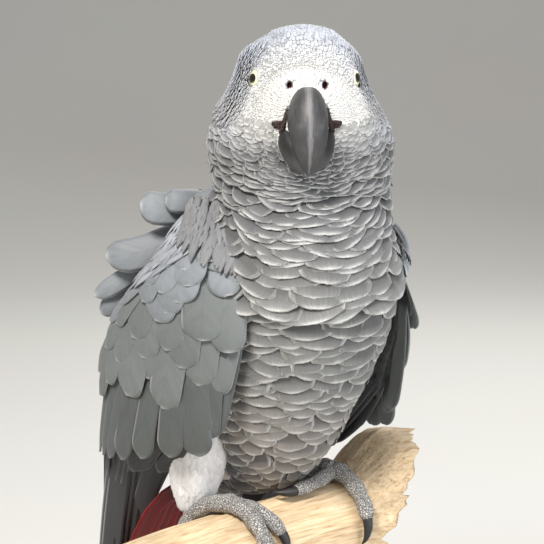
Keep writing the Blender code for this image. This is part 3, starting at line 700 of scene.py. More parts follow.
print("body coat")
bodyVane = makeVaneMaterial("greyContourVane", "#f2f2ef", 1.0, 0.4, 34.0)
roots, flows, lengths, widths, lifts = bodyRoots()
reaches = flows * lengths[:, None] * mm
bare = nearNode(roots + reaches * 0.6, 1.5 * mm, "bill_upper")
bare |= nearNode(roots + reaches * 0.5, 0.8 * mm, "bill_lower")
bare |= nearNode(roots + reaches, 4.5 * mm, "thigh_left", "thigh_right") & (levelOf(roots + reaches) < 46)
roots, flows, lengths, widths, lifts = [part[~bare] for part in (roots, flows, lengths, widths, lifts)]
tones = plumageTone(roots + flows * lengths[:, None] * mm * 0.8)
tones = tones * (1 + chance.normal(size=len(roots)) * 0.07)[:, None]
rootLevels = levelOf(roots)
for name, low, high, rows in bodyCoat["pieces"]:
    keep = (rootLevels > low) & (rootLevels <= high)
    growFeathers(name, bodyVane, featherNet(rows, 8, 0.7, 0.5, 2.0), roots[keep],
                 flows[keep], lengths[keep], widths[keep], np.full(keep.sum(), 0.4), lifts[keep],
                 tones[keep], cup=0.012, fray=0.007, curl=0.08)

# Eyes: a clear domed front over a pale iris, ringed by bare lids

eyeLook = {
    "forward": 23.0, "side": 17.6, "level": 179.0, "radius": 4.8,
    "turnOut": 64, "rise": 2, "gazeOut": 54, "gazeRise": 8,  # where the globe and the iris face, degrees
    "irisAngle": 55, "pupilAngle": 22, "iris": "#ecebc4", "irisRim": "#8d8a52", "pupil": "#120d0b",
    "white": "#5a5440", "lid": "#dddadb",
}


def eyeAxis(side, turnOut="turnOut", riseBy="rise"):
    forward, left = facing(headTurn)
    out = math.radians(eyeLook[turnOut])
    flat = forward * math.cos(out) + left * side * math.sin(out)
    rise = math.radians(eyeLook[riseBy])
    return flat * math.cos(rise) + spread((0, 0, math.sin(rise)))


# Head coat: small scales that grow in size away from the bill

headCoat = {
    # by distance from the bill
    "spacing": ((10, 0.7), (22, 0.7), (28, 0.74), (36, 0.85), (44, 1.08), (55, 1.45), (70, 2.0)),
    "tilt": ((10, 0.08), (24, 0.1), (34, 0.25), (44, 0.6), (70, 1.1)),  # how far a tip stands over its root
    "stretch": 1.8,  # width over row spacing
    "overlap": 3.3, "width": 2.7, "tries": 110000, "bottom": 154,
    "faceEdge": 25.0, "faceBottom": 156.5, "faceSpacing": 0.66, "faceStretch": 0.8, "faceLength": 3.4,
    "faceWidth": 1.15, "faceTilt": 0.06,
    "sidePuff": (2.6, 4.8),  # how far the coat stands out behind the left eye and the right
    # what stays clear: round an eye within an angle of its axis, and round a nostril
    "eyeClear": 6.6, "eyeClearAngle": 50, "nostril": (37.5, 7.0, 177.8), "nostrilClear": 2.9,
}


def headPuff(points):
    # the fuller coat at the sides of the head, behind the eyes
    forward, left = facing(headTurn)
    flat = points - headMiddle
    height = levelOf(points)
    toLeft = flat @ left / mm
    full = np.where(toLeft > 0, *headCoat["sidePuff"])
    full = full * smooth(25, 15, flat @ forward / mm) * smooth(-30, -14, flat @ forward / mm)
    return full * smooth(6, 15, np.abs(toLeft)) * smooth(196, 183, height) * smooth(156, 166, height)


def headFlow(points, normals):
    away = unit(points - billRoot)
    height = levelOf(points)
    down = spread((0, 0, -1))
    share = 0.25 + 0.75 * smooth(163, 150, height)
    share = share * smooth(186, 174, height)
    flow = away * (1 - share)[:, None] + down * share[:, None]
    return alongSkin(flow + chance.normal(size=points.shape) * 0.07, normals)


def headLevel(points):
    # height less the way the rows hang from the cheeks
    forward, left = facing(headTurn)
    flat = points - headMiddle
    turn = np.arctan2(flat @ left, flat @ forward + 0.006)
    return levelOf(points) - 10 * sideShape(turn)


faceMiddles = spread([skinPoints[c].mean(0) for c in faceCorners])


def scatter(picked, spacingAt, stretch, flowAt, tries):
    # places on the picked faces, at least the spacing apart along the flow and more across it
    weight = 1 / spacingAt(faceMiddles[picked]) ** 2
    chosen = chance.choice(picked, tries, p=weight / weight.sum())
    mix = chance.dirichlet((1, 1, 1, 1), tries)
    corners = spread([skinPoints[faceCorners[c][[0, 1, 2, -1]]] for c in chosen])
    points, normals = np.einsum("nk,nkd->nd", mix, corners), faceNormals[chosen]
    flows, spacing = flowAt(points, normals), spacingAt(points)
    cell = spacing.max() * stretch * mm
    beside = [(x, y, z) for x in (-1, 0, 1) for y in (-1, 0, 1) for z in (-1, 0, 1)]
    kept, cells = [], {}

    def crowded(i, j):
        gap = (points[j] - points[i]) / mm
        run = gap @ flows[i]
        wide = math.sqrt(max(gap @ gap - run * run, 0)) / stretch
        return run * run + wide * wide < (spacing[i] * 0.86) ** 2

    for i in range(len(points)):
        a, b, c = (points[i] // cell).astype(int)
        near = (j for x, y, z in beside for j in cells.get((a + x, b + y, c + z), ()))
        if not any(crowded(i, j) for j in near):
            cells.setdefault((a, b, c), []).append(i)
            kept.append(i)
    return points[kept], flows[kept], spacing[kept]


print("head coat")
headVane = makeVaneMaterial("paleHeadVane", "#f4f4f4", 0.8, 0.8, 12.0, 0.04)


def headSpacing(points):
    return curveThrough(headCoat["spacing"], fromBill(points))[:, 0]


def faceSpacing(points):
    return np.full(len(points), headCoat["faceSpacing"])


def clearOfFeatures(points, flows):
    clear = ~(nearNode(points, 0.5 * mm, "bill_upper") | nearNode(points, 0.6 * mm, "bill_lower"))
    forward, leftBy, height = headCoat["nostril"]
    for side in (-1, 1):  # the eyes and the nostrils stay clear too
        eye = headPlace(eyeLook["forward"], side * eyeLook["side"], eyeLook["level"])
        gap = points + flows * 0.7 * mm - eye
        before = unit(gap) @ eyeAxis(side) > math.cos(math.radians(headCoat["eyeClearAngle"]))
        clear &= ~((np.linalg.norm(gap, axis=1) < headCoat["eyeClear"] * mm) & before)
        gap = points + flows * 1.5 * mm - headPlace(forward, side * leftBy, height)
        clear &= np.linalg.norm(gap, axis=1) > headCoat["nostrilClear"] * mm
    return clear


def rootHead(name, zone, spacingAt, stretch):
    # roots of the head's or the face's feathers; the two kinds mingle at the face's edge
    points, flows, spacing = scatter(np.where(zone)[0], spacingAt, stretch, headFlow, headCoat["tries"])
    edge, away = headCoat["faceEdge"], fromBill(points)
    share = smooth(edge - 6, edge + 1, away) if name == "coatHead" else smooth(edge + 5, edge - 3, away)
    clear = clearOfFeatures(points, flows) & (chance.random(len(points)) < share)
    points, flows, spacing = points[clear], flows[clear], spacing[clear]
    ripple = 1 + chance.normal(size=len(points)) * 0.04 * smooth(20, 30, fromBill(points))
    return points, flows, spacing, coatDepth(points) / mm * ripple + headPuff(points)


def growHead():
    zone = headLevel(faceMiddles) > headCoat["bottom"]
    zone &= fromBill(faceMiddles) > headCoat["faceEdge"] - 5
    points, flows, spacing, lifts = rootHead("coatHead", zone, headSpacing, headCoat["stretch"])
    away, count, fuller = fromBill(points), len(points), 1 + 0.09 * headPuff(points)
    tones = plumageTone(points) * (1 + chance.normal(size=count) * 0.07)[:, None]
    tones = tones * (1 - 0.3 * (chance.random(count) < 0.14) * smooth(24, 32, away))[:, None]
    rootLifts = np.maximum(lifts - curveThrough(headCoat["tilt"], away)[:, 0], 0.08)
    lengths = spacing * headCoat["overlap"] * (1 + chance.normal(size=count) * 0.08) * fuller
    growFeathers("coatHead", headVane, featherNet(4, 3, 0.55, 0.6, 2.0), points, flows,
                 lengths, spacing * headCoat["width"] * fuller, rootLifts, lifts, tones, cup=0.04,
                 thickness=0.09)


def growFace():
    zone = headLevel(faceMiddles) > headCoat["faceBottom"]
    zone &= fromBill(faceMiddles) < headCoat["faceEdge"] + 4
    points, flows, _, lifts = rootHead("coatFace", zone, faceSpacing, headCoat["faceStretch"])
    away, count = fromBill(points), len(points)
    tones = plumageTone(points) * (1 + chance.normal(size=count) * 0.015)[:, None]
    rootLifts = np.maximum(lifts - headCoat["faceTilt"] - 0.08 * smooth(14, 24, away), 0.06)
    lengths = headCoat["faceLength"] * (1 + chance.normal(size=count) * 0.1)
    growFeathers("coatFace", faceVane, featherNet(4, 2, 0.4, 0.6, 1.6), points, flows,
                 lengths, np.full(count, headCoat["faceWidth"]), rootLifts, lifts, tones, cup=0.01,
                 thickness=0.03)


faceVane = makeVaneMaterial("whiteFaceVane", "#ffffff", 0.3, 0.96, 12.0, 0.01)
growHead()
growFace()

# Bill: a deep hooked upper half over a scooped lower one

billLook = {
    # forward and level of the ridge, then of the underside, and half the width, from root to point
    "upper": ((30, 175, 26, 163, 7.4), (37.5, 177.3, 30, 160, 7.9), (44, 175, 34, 158, 8.0),
              (49, 169.2, 37.5, 156, 7.8), (51.6, 161.5, 40, 154, 7.2), (51.2, 154, 41.5, 151.5, 6.1),
              (48.6, 148, 42.5, 149, 4.4), (45.2, 144.2, 42.3, 146.2, 2.6), (42, 141.8, 41.2, 143.2, 0.8)),
    # forward, level, half width and half height
    "lower": ((24, 158.5, 10, 6.5), (30, 156.8, 11.6, 9.2), (35, 153.8, 11.1, 9.8), (39.5, 151.2, 9.4, 8.6),
              (42.6, 149.8, 6.8, 6.4), (44.2, 149.6, 3.6, 3.6)),
    "ridgeTaper": 0.2, "tomiumNotch": 0.5, "growthLines": 0.06,
    # the ridge colour is a painted highlight along the top of the bill
    "edge": "#1b1b1c", "body": "#414143", "ridge": "#828283",
}


def makeBillHorn(name, ridgeHighlight, bodyColour, edgeColour):
    # keratin: satin, with fine scratches along it; the light grey along the ridge is a painted highlight,
    # and the colour darkens towards the edges
    made, tree, shader = newMaterial(name, 0.5, ior=1.54, Coat_Weight=0.08, Coat_Roughness=0.3)
    spot = addNode(tree, "UVMap", {"uv_map": "vane"})
    across = addNode(tree, "SeparateXYZ", Vector=spot)
    stretched = addNode(tree, "Mapping", {"Scale": (46.0, 2.2, 1.0)}, Vector=spot)
    scratches = addNode(tree, "TexNoise", {"Scale": 3.0, "Detail": 6.0, "Roughness": 0.65},
                        Vector=stretched)
    where = addNode(tree, "TexCoord").outputs["Object"]
    clouds = addNode(tree, "TexNoise", {"Scale": 180.0, "Detail": 4.0}, Vector=where)
    wander = addNode(tree, "Math", {"operation": "MULTIPLY_ADD", 1: 0.16, 2: -0.08}, pin0=clouds)
    fromRidge = addNode(tree, "Math", {"operation": "ADD"}, pin0=across, pin1=wander)
    bands = ((0.0, ridgeHighlight), (0.07, bodyColour), (0.36, bodyColour), (0.6, edgeColour))
    base = addNode(tree, "ValToRGB", {"stops": bands}, Fac=fromRidge)
    marks = addNode(tree, "ValToRGB", {"stops": ((0.3, 0.45), (0.48, 0.85), (0.58, 1.2), (0.7, 1.9))},
                    Fac=scratches)
    flecks = addNode(tree, "ValToRGB", {"stops": ((0.35, 0.75), (0.6, 1.1), (0.72, 1.7))}, Fac=clouds)
    scored = addNode(tree, "Mix", multiplied, pin6=base, pin7=marks)
    worn = addNode(tree, "Mix", multiplied, pin6=scored, pin7=flecks)
    rough = addNode(tree, "MapRange", {"To Min": 0.42, "To Max": 0.65}, Value=scratches)
    relief = addNode(tree, "Bump", {"Distance": 0.12 * mm, "Strength": 0.7}, Height=scratches)
    linkTo(tree, shader, Base_Color=worn, Roughness=rough, Normal=relief)
    return made


def makeBill():
    around, rows = 48, 60
    turns = np.arange(around) * 2 * math.pi / around
    steps = np.linspace(0, 1, rows)
    _, left = facing(headTurn)
    horn = makeBillHorn("billKeratin", billLook["ridge"], billLook["body"], billLook["edge"])
    for name, table in (("upper", billLook["upper"]), ("lower", billLook["lower"])):
        at = [(i / (len(table) - 1), *row) for i, row in enumerate(table)]
        rings = []
        for step, row in zip(steps, curveThrough(at, steps)):
            if name == "upper":
                ridge, under = headPlace(row[0], 0, row[1]), headPlace(row[2], 0, row[3])
                middle, reach = (ridge + under) / 2, (ridge - under) / 2
                flat = 1 - 0.06 * np.exp(-((turns - math.pi) / 0.9) ** 2)
                notch = billLook["tomiumNotch"] * mm * np.exp(-((step - 0.62) / 0.09) ** 2)
                line = 1 + billLook["growthLines"] * 0.2 * math.sin(step * 60)
                square = np.sign(np.sin(turns)) * np.abs(np.sin(turns)) ** (0.72 + 0.28 * step)
                wide = row[4] * mm * square * (1 - billLook["ridgeTaper"] * np.cos(turns)) * line
                rings.append(middle + np.outer(np.cos(turns) * flat, reach) + np.outer(wide, left)
                             + np.outer(notch * (np.cos(turns) < -0.3), unit(reach)))
            else:
                middle = headPlace(row[0], 0, row[1])
                scoop = 1 - 0.35 * sum(np.exp(-((turns - top) / 0.8) ** 2) for top in (0, 2 * math.pi))
                upright = np.where(np.cos(turns) > 0, 0.45, 1.0)  # steep sides over a rounded keel
                wide = np.sign(np.sin(turns)) * np.abs(np.sin(turns)) ** upright
                rings.append(middle + np.outer(row[2] * mm * wide, left)
                             + np.outer(row[3] * mm * np.cos(turns) * scoop, (0, 0, 1)))
        made = settle(ringForm(rings), "billUpper" if name == "upper" else "billLower", horn)
        made.data.uv_layers[0].name = "vane"
        foldMap(made.data, name == "lower")
        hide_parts("bill_" + name)


def foldMap(mesh, turned):
    # the map's first value runs from the ridge, 0, to the far side, 1, on both sides alike
    layer = mesh.uv_layers["vane"]
    spots = np.empty(len(mesh.loops) * 2, np.float32)
    layer.data.foreach_get("uv", spots)
    spots = spots.reshape(-1, 2)
    side = (spots[:, 0] * 2) % 2
    spots[:, 0] = np.where(side > 1, 2 - side, side)
    if not turned:
        spots[:, 0] = 1 - spots[:, 0]
    layer.data.foreach_set("uv", spots.ravel())


def onFace(leftBy, height):
    # the skin's place and normal straight behind a place in front of the face
    forward, _ = facing(headTurn)
    hit, normal, _, _ = skinTree.ray_cast(Vector(headPlace(70, leftBy, height)), Vector(-forward))
    if hit is None:
        return headPlace(30, leftBy, height), spread(forward)
    return spread(hit), spread(normal)


def makeGape():
    # bare skin at the corner of the mouth: dark, dry, wrinkled
    made, tree, shader = newMaterial("gapeSkin", 0.6, ior=1.4)
    where = addNode(tree, "TexCoord").outputs["Object"]
    folds = addNode(tree, "TexNoise", {"Scale": 1400.0, "Detail": 4.0, "Roughness": 0.7}, Vector=where)
    colour = addNode(tree, "ValToRGB", {"stops": ((0.3, "#171110"), (0.55, "#322421"), (0.8, "#7b6761"))},
                     Fac=folds)
    relief = addNode(tree, "Bump", {"Distance": 0.3 * mm, "Strength": 0.9}, Height=folds)
    linkTo(tree, shader, Base_Color=colour, Normal=relief)
    # places beside the bill as left and height, then the fold's thickness
    paths = (((7.7, 170, 0.3), (8.0, 167.5, 0.8), (8.4, 165, 1.0), (8.9, 163, 1.3), (9.6, 160.6, 1.4),
              (10.4, 158, 0.9)),
             ((9.0, 162.9, 0.9), (10.8, 162.6, 1.1), (12.4, 162.3, 1.2), (13.8, 162.1, 1.0)),
             ((9.2, 160.9, 1.1), (10.6, 161.0, 1.2), (11.8, 161.3, 1.2), (12.9, 161.6, 1.1)))
    for name, side in (("left", 1), ("right", -1)):
        pieces = []
        for path in paths:
            table = [(i / (len(path) - 1), *row) for i, row in enumerate(path)]
            rows = curveThrough(table, np.linspace(0, 1, 24))
            spots = [onFace(side * leftBy, height) for leftBy, height, _ in rows]
            places = [spot + normal * thick * 0.1 * mm for (spot, normal), thick in zip(spots, rows[:, 2])]
            for _ in range(3):
                places[1:-1] = [(a + b * 2 + c) / 4 for a, b, c in zip(places, places[1:], places[2:])]
            ring = np.arange(24)
            wrinkled = rows[:, 2] * (1 + 0.12 * np.sin(ring * 2.1) + 0.1 * np.sin(ring * 3.7))
            pieces.append(tubeForm(places, wrinkled * mm, 14))
        settle(joinPieces(pieces), "gape_" + name, made)


print("bill")
makeBill()
makeGape()

# Cere: the bare, powdered pad over the bill's root, with the two nostrils

# the nostrils' dark colour is painted shade inside the openings
cereLook = {"centre": (0, 173), "halfSize": (12, 9.5), "rise": 0.75, "nostril": (7.0, 177.5),
            "pit": 2.6, "pitSize": (1.2, 1.75), "rim": 0.25, "skin": "#efebe8", "nostrilShade": "#40221f"}


def fromNostril(leftBy, height, side):
    # distance from a nostril's middle, in its own half sizes
    middle, size = cereLook["nostril"], cereLook["pitSize"]
    return np.hypot((leftBy - side * middle[0]) / size[0], (height - middle[1]) / size[1])


def makeCere():
    forward, left = facing(headTurn)
    rings = []
    rows, around = 44, 96
    turns = np.arange(around) * 2 * math.pi / around
    for layer in (1, 0):
        shares = np.linspace(0.02, 1, rows) if layer else np.linspace(1, 0.02, 12)[1:]
        for share in shares:
            ring = []
            for turn in turns:
                leftBy = cereLook["centre"][0] + cereLook["halfSize"][0] * share * math.cos(turn)
                height = cereLook["centre"][1] + cereLook["halfSize"][1] * share * math.sin(turn)
                hit, normal = onFace(leftBy, height)
                gap = float(fromNostril(leftBy, height, 1 if leftBy > 0 else -1))
                sunk = cereLook["pit"] * (1 - float(smooth(0.55, 1.15, gap)))
                rim = cereLook["rim"] * math.exp(-((gap - 1.5) / 0.4) ** 2)
                rise = cereLook["rise"] * (1 - float(smooth(0.55, 1.0, share))) - 0.3 + rim - sunk
                if not layer:  # the pad's hidden underside
                    rise = -4.5 * (1 - share**4) - 0.3
                ring.append(hit + (forward if sunk > 0.1 else normal) * rise * mm)
            rings.append(ring)
    made = ringForm(rings)
    applyModifier(made, "SMOOTH", factor=0.4, iterations=2)
    material, tree, shader = newMaterial("powderedCere", 0.7, ior=1.4, Subsurface_Weight=0.15,
                                         Subsurface_Radius=(0.002, 0.001, 0.0008), Subsurface_Scale=0.5)
    # bare skin dusted with feather powder: matt white, fine wrinkles; the nostrils are painted dark,
    # painted shade inside their openings
    pit = addNode(tree, "Attribute", {"attribute_name": "pit"}).outputs["Fac"]
    where = addNode(tree, "TexCoord").outputs["Object"]
    wrinkles = addNode(tree, "TexNoise", {"Scale": 1500.0, "Detail": 4.0, "Roughness": 0.6}, Vector=where)
    powder = addNode(tree, "ValToRGB", {"stops": ((0.3, "#d3cecb"), (0.65, cereLook["skin"]))},
                     Fac=wrinkles)
    mix = addNode(tree, "Mix", {"data_type": "RGBA", 7: toLinear(cereLook["nostrilShade"])}, pin0=pit,
                  pin6=powder)
    relief = addNode(tree, "Bump", {"Distance": 0.1 * mm, "Strength": 0.8}, Height=wrinkles)
    linkTo(tree, shader, Base_Color=mix, Normal=relief)
    settle(made, "cere", material)
    points = meshPoints(made.data)
    shade = np.zeros(len(points))
    for side in (-1, 1):
        gap = fromNostril((points - headMiddle) @ left / mm, levelOf(points), side)
        shade = np.maximum(shade, 1 - smooth(0.8, 1.25, gap))
        skinSpots = meshPoints(skin.data)  # the skin sinks behind the pits
        gap = fromNostril((skinSpots - headMiddle) @ left / mm, levelOf(skinSpots), side)
        sink = 4.5 * mm * smooth(2.6, 1.3, gap) * (meshNormals(skin.data) @ forward > 0.2)
        movePoints(skin.data, skinSpots - np.outer(sink, forward))
    setValue(made.data, "pit", shade)


print("cere")
makeCere()


def makeEyeMaterials():
    # glass eye: glossy dome, iris finely streaked from the pupil outward
    glass, tree, shader = newMaterial("glassEye", 0.08, ior=1.5, Coat_Weight=1.0, Coat_Roughness=0.02)
    angle = addNode(tree, "Attribute", {"attribute_name": "angle"}).outputs["Fac"]
    streak = addNode(tree, "UVMap", {"uv_map": "vane"})
    wide = addNode(tree, "Mapping", {"Scale": (60.0, 3.0, 1.0)}, Vector=streak)
    lines = addNode(tree, "TexNoise", {"Scale": 1.0, "Detail": 3.0}, Vector=wide)
    pupilEdge, irisEdge = eyeLook["pupilAngle"] / 90, eyeLook["irisAngle"] / 90
    rings = ((pupilEdge - 0.012, "pupil"), (pupilEdge + 0.012, "irisRim"), (pupilEdge + 0.04, "iris"),
             (irisEdge - 0.05, "iris"), (irisEdge - 0.005, "irisRim"), (irisEdge + 0.02, "white"))
    bands = addNode(tree, "ValToRGB", {"stops": [(place, eyeLook[key]) for place, key in rings]}, Fac=angle)
    shade = addNode(tree, "ValToRGB", {"stops": ((0.3, 0.78), (0.7, 1.1))}, Fac=lines)
    linkTo(tree, shader, Base_Color=addNode(tree, "Mix", multiplied, pin6=bands, pin7=shade))
    # lid: bare wrinkled skin
    lidSkin, tree, shader = newMaterial("lidSkin", 0.6, ior=1.4)
    where = addNode(tree, "TexCoord").outputs["Object"]
    folds = addNode(tree, "TexNoise", {"Scale": 2200.0, "Detail": 3.0}, Vector=where)
    colour = addNode(tree, "ValToRGB", {"stops": ((0.3, "#84818a"), (0.7, eyeLook["lid"]))}, Fac=folds)
    relief = addNode(tree, "Bump", {"Distance": 0.12 * mm, "Strength": 0.8}, Height=folds)
    linkTo(tree, shader, Base_Color=colour, Normal=relief)
    return glass, lidSkin


def makeEyes():
    glass, lidSkin = makeEyeMaterials()
    for name, side in (("left", 1), ("right", -1)):
        centre = headPlace(eyeLook["forward"], side * eyeLook["side"], eyeLook["level"])
        axis = eyeAxis(side)
        up = unit(spread((0, 0, 1)) - axis * axis[2])
        across = np.cross(up, axis)
        turns = np.arange(48) * 2 * math.pi / 48
        radius = eyeLook["radius"] * mm
        rings = []
        for a in np.linspace(0.02, math.pi - 0.02, 48):
            swell = 1 + 0.05 * math.exp(-(a / 0.5) ** 2)
            rings.append(centre + radius * swell * (math.cos(a) * axis
                         + math.sin(a) * (np.outer(np.cos(turns), across) + np.outer(np.sin(turns), up))))
        made = settle(ringForm(rings), "eye_" + name + "_globe", glass)
        made.data.uv_layers[0].name = "vane"
        apart = unit(meshPoints(made.data) - centre) @ eyeAxis(side, "gazeOut", "gazeRise")
        setValue(made.data, "angle", np.degrees(np.arccos(np.clip(apart, -1, 1))) / 90)
        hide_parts("eye_" + name)
        ringPath = []
        for turn in np.arange(40) * 2 * math.pi / 40:
            gape = math.radians(47 - 4 * math.cos(turn * 2) + 3 * math.sin(turn) ** 4)
            way = math.cos(gape) * axis + math.sin(gape) * (math.cos(turn) * across + math.sin(turn) * up)
            ringPath.append((centre + way * radius * 1.03, way))
        rings = []
        for place, way in ringPath:
            inward = unit(axis - way * (axis @ way))
            section = []
            for t in np.arange(12) * 2 * math.pi / 12:  # a flap, thick at the opening and flat behind
                back = 0.85 - 0.85 * math.cos(t)
                section.append(place + mm * (-back * inward + (0.34 - 0.09 * back) * math.sin(t) * way
                                             + (0.1 - 0.05 * back) * way))
            rings.append(section)
        settle(ringLoop(rings), "eyelid_" + name, lidSkin)


def ringLoop(sections):
    # a closed loop of sections
    count, around = len(sections), len(sections[0])
    faces = [(i * around + j, i * around + (j + 1) % around, ((i + 1) % count) * around + (j + 1) % around,
              ((i + 1) % count) * around + j) for i in range(count) for j in range(around)]
    mesh = bpy.data.meshes.new("loop")
    mesh.from_pydata(spread(sections).reshape(-1, 3).tolist(), [], faces)
    made = bpy.data.objects.new("loop", mesh)
    bpy.context.scene.collection.objects.link(made)
    outwardOnly(made)
    bpy.ops.object.shade_smooth()
    return made


print("eyes")
makeEyes()

# Wings: layers of large vanes laid on the wing's own curved surface


def layVanes(name, material, net, surface, vanes, thickness=0.5, shaft=0.12):
    # large vanes on a surface; each has its root and tip on it, width, lifts, tilt, cup, curl, bow and tone
    shape, lower, _ = net
    along, across, side = shape[:, 0], shape[:, 1], shape[:, 2]
    points = []
    for vane in vanes:
        centre, normal = surface(vane, along)
        way = unit(np.gradient(surface(vane, np.linspace(0, 1, 25))[0], axis=0))
        way = np.stack([np.interp(along, np.linspace(0, 1, 25), way[:, k]) for k in range(3)], axis=1)
        sideways = unit(np.cross(way, normal)) * vane.get("hand", 1)
        bow = vane.get("bow", 0) * 4 * along * (1 - along)
        flat = centre + sideways * ((across * vane["width"] / 2 + bow) * mm)[:, None]
        rise = vane["rootLift"] + (vane["tipLift"] - vane["rootLift"]) * along
        rise = rise - vane.get("tilt", 0.35) * side - vane.get("cup", 0.5) * side**2
        rise = rise + shaft * np.exp(-(side / 0.12) ** 2) * (1 - along) * (1 - lower)
        rise = rise - vane.get("curl", 0.6) * smooth(0.75, 1, along) ** 2
        points.append(flat + normal * ((rise - thickness * lower) * mm)[:, None])
    made = featherPiece(name, material, net, np.stack(points), spread([v["patch"] for v in vanes]),
                        spread([v["tone"] for v in vanes]))
    outwardOnly(made)
    return made


def onWing(wing):
    def surface(vane, along):
        (h0, s0), (h1, s1) = vane["root"], vane["tip"]
        root, tip = wingSurface(wing, h0, s0)[0], wingSurface(wing, h1, s1)[0]
        ends = np.array([h0, (h0 + h1) / 2, h1])
        shares = np.array([s0, (s0 + s1) / 2, s1])
        up, down = wingSurface(wing, ends + 2, shares), wingSurface(wing, ends - 2, shares)
        fore, aft = wingSurface(wing, ends, shares - 0.05), wingSurface(wing, ends, shares + 0.05)
        out = unit(np.cross(aft - fore, up - down)) * wingLook[wing]["side"]
        way = unit(tip - root)
        out = unit(out - np.outer(out @ way, way))
        normal = unit(curveThrough(((0, *out[0]), (0.5, *out[1]), (1, *out[2])), along))
        arch = vane.get("arch", 0.8) * 4 * along * (1 - along) * mm
        return root + (tip - root) * along[:, None] + normal * arch[:, None], normal
    return surface


def makeFlightMaterial(name, rimStrength):
    # flight and covert vanes: satin, close barbs that slant from a dark shaft, paler worn edges
    made, tree, shader = newMaterial(name, 0.62, ior=1.5, Sheen_Weight=0.15, Sheen_Roughness=0.4)
    tone, along, signed, out = vaneParts(tree)
    turn = addNode(tree, "Attribute", {"attribute_name": "turn"}).outputs["Fac"]
    slant = addNode(tree, "Math", {"operation": "MULTIPLY_ADD", 1: -0.3}, pin0=out, pin2=along)
    lane = addNode(tree, "CombineXYZ", X=slant, Y=turn, Z=signed)
    close = addNode(tree, "Mapping", {"Scale": (1.0, 6.0, 0.06)}, Vector=lane)
    barbs = addNode(tree, "TexNoise", {"Scale": 70.0, "Detail": 3.0, "Roughness": 0.7}, Vector=close)
    broad = addNode(tree, "TexNoise", {"Scale": 9.0, "Detail": 2.0}, Vector=close)
    edge = nearEdge(tree, along, out, 14.0, 40.0)
    mask = addNode(tree, "ValToRGB", {"stops": ((0.1, 0.0), (0.8, rimStrength))}, Fac=edge)
    shade = addNode(tree, "ValToRGB", {"stops": ((0.3, 0.93), (0.72, 1.05))}, Fac=barbs)
    wide = addNode(tree, "ValToRGB", {"stops": ((0.35, 0.93), (0.65, 1.05))}, Fac=broad)
    first = addNode(tree, "Mix", multiplied, pin6=tone, pin7=shade)
    second = addNode(tree, "Mix", multiplied, pin6=first, pin7=wide)
    pale = addNode(tree, "Mix", {"data_type": "RGBA", 7: toLinear(wingLook["rim"])}, pin0=mask, pin6=second)
    # the shaft shows as a thin dark line
    shaft = addNode(tree, "ValToRGB", {"stops": ((0.012, 0.88), (0.03, 1.0))}, Fac=out)
    final = addNode(tree, "Mix", multiplied | {"Factor": 0.8}, pin6=pale, pin7=shaft)
    relief = addNode(tree, "Bump", {"Distance": 0.05 * mm, "Strength": 0.5}, Height=barbs)
    linkTo(tree, shader, Base_Color=final, Normal=relief)
    return made


coverts = {
    # each vane's tip as level and share of the wing's width, then its root, then its width
    "median": (
        (93, 0.75, 105, 0.95, 13.5), (95, 0.3, 113, 0.36, 18), (102, 0.05, 120, 0.0, 17),
        (88, 0.36, 108, 0.4, 20), (92, 0.05, 112, 0.04, 16), (79, 0.5, 100, 0.52, 18),
        (101, 0.38, 119, 0.42, 14), (98, -0.02, 114, -0.02, 13), (105, 0.15, 121, 0.1, 14),
        (100, 0.68, 114, 0.85, 13), (86, 0.7, 102, 0.78, 14), (91, 0.55, 110, 0.6, 15),
        (74, 1.1, 98, 0.84, 10), (83, 1.02, 100, 0.84, 9), (83, 0.44, 104, 0.46, 17)),
    "greater": (
        (73, 0.15, 100, 0.18, 19), (69, 0.0, 100, 0.03, 16), (62, 0.55, 94, 0.58, 16.5),
        (60, 0.25, 92, 0.28, 17.5), (53, 0.13, 84, 0.16, 16), (53, 0.47, 84, 0.48, 13),
        (44, 0.62, 77, 0.62, 18), (41, 0.32, 74, 0.35, 16.5), (58, 0.8, 88, 0.77, 14),
        (47, 0.88, 78, 0.83, 14), (67, 0.38, 97, 0.4, 16), (70, 0.68, 98, 0.7, 15),
        (50, 0.02, 83, 0.03, 14), (50, 1.03, 80, 0.97, 12), (74, 0.95, 98, 0.9, 12),
        (62, 1.0, 90, 0.95, 12), (40, 1.0, 72, 0.95, 11)),
    "secondary": (
        (13, 1.06, 62, 0.96, 8), (13, 0.9, 62, 0.86, 9), (13, 0.74, 62, 0.75, 10),
        (14, 0.57, 62, 0.62, 11.5), (17, 0.39, 62, 0.46, 12), (22, 0.03, 66, 0.3, 15.5),
        (28, 0.03, 68, 0.18, 12), (30, 0.0, 72, 0.09, 11), (31, -0.02, 82, 0.0, 11),
        (20, 0.2, 62, 0.32, 13)),
    "primary": (
        (-86, 0.4, 44, 0.8, 10), (-82, 0.26, 44, 0.72, 10), (-74, 0.4, 44, 0.65, 10),
        (-64, 0.48, 44, 0.58, 10.5), (-52, 0.34, 44, 0.52, 10.5), (-38, 0.2, 44, 0.45, 11),
        (-24, 0.14, 44, 0.38, 11), (-8, 0.22, 44, 0.3, 11), (4, 0.3, 44, 0.25, 11),
        (-16, 1.36, 40, 1.02, 9.5), (-7, 1.3, 40, 1.0, 9), (-14, 0.98, 40, 0.9, 9),
        (-30, 0.8, 40, 0.84, 9), (-30, 0.02, 44, 0.2, 10), (-12, 0.02, 44, 0.12, 10),
        (5, 0.02, 44, 0.1, 9)),
}
layers = {
    # lift of the uppermost vane's root and tip over the wing's face, how fast the next ones sink, and
    # how every vane is bent
    "median": (-1.2, 0.6, 0.03, {"cup": 1.1, "tilt": 0.25, "curl": 0.5}),
    "greater": (-2.4, -0.4, 0.02, {"cup": 1.1, "tilt": 0.25, "curl": 0.5}),
    "secondary": (-4.0, -2.3, 0.02, {"cup": 0.7, "tilt": 0.35, "curl": 0.4}),
    "primary": (-5.6, -4.6, 0.01, {"cup": 0.5, "tilt": 0.2, "curl": 0.2, "arch": 1.5}),
}
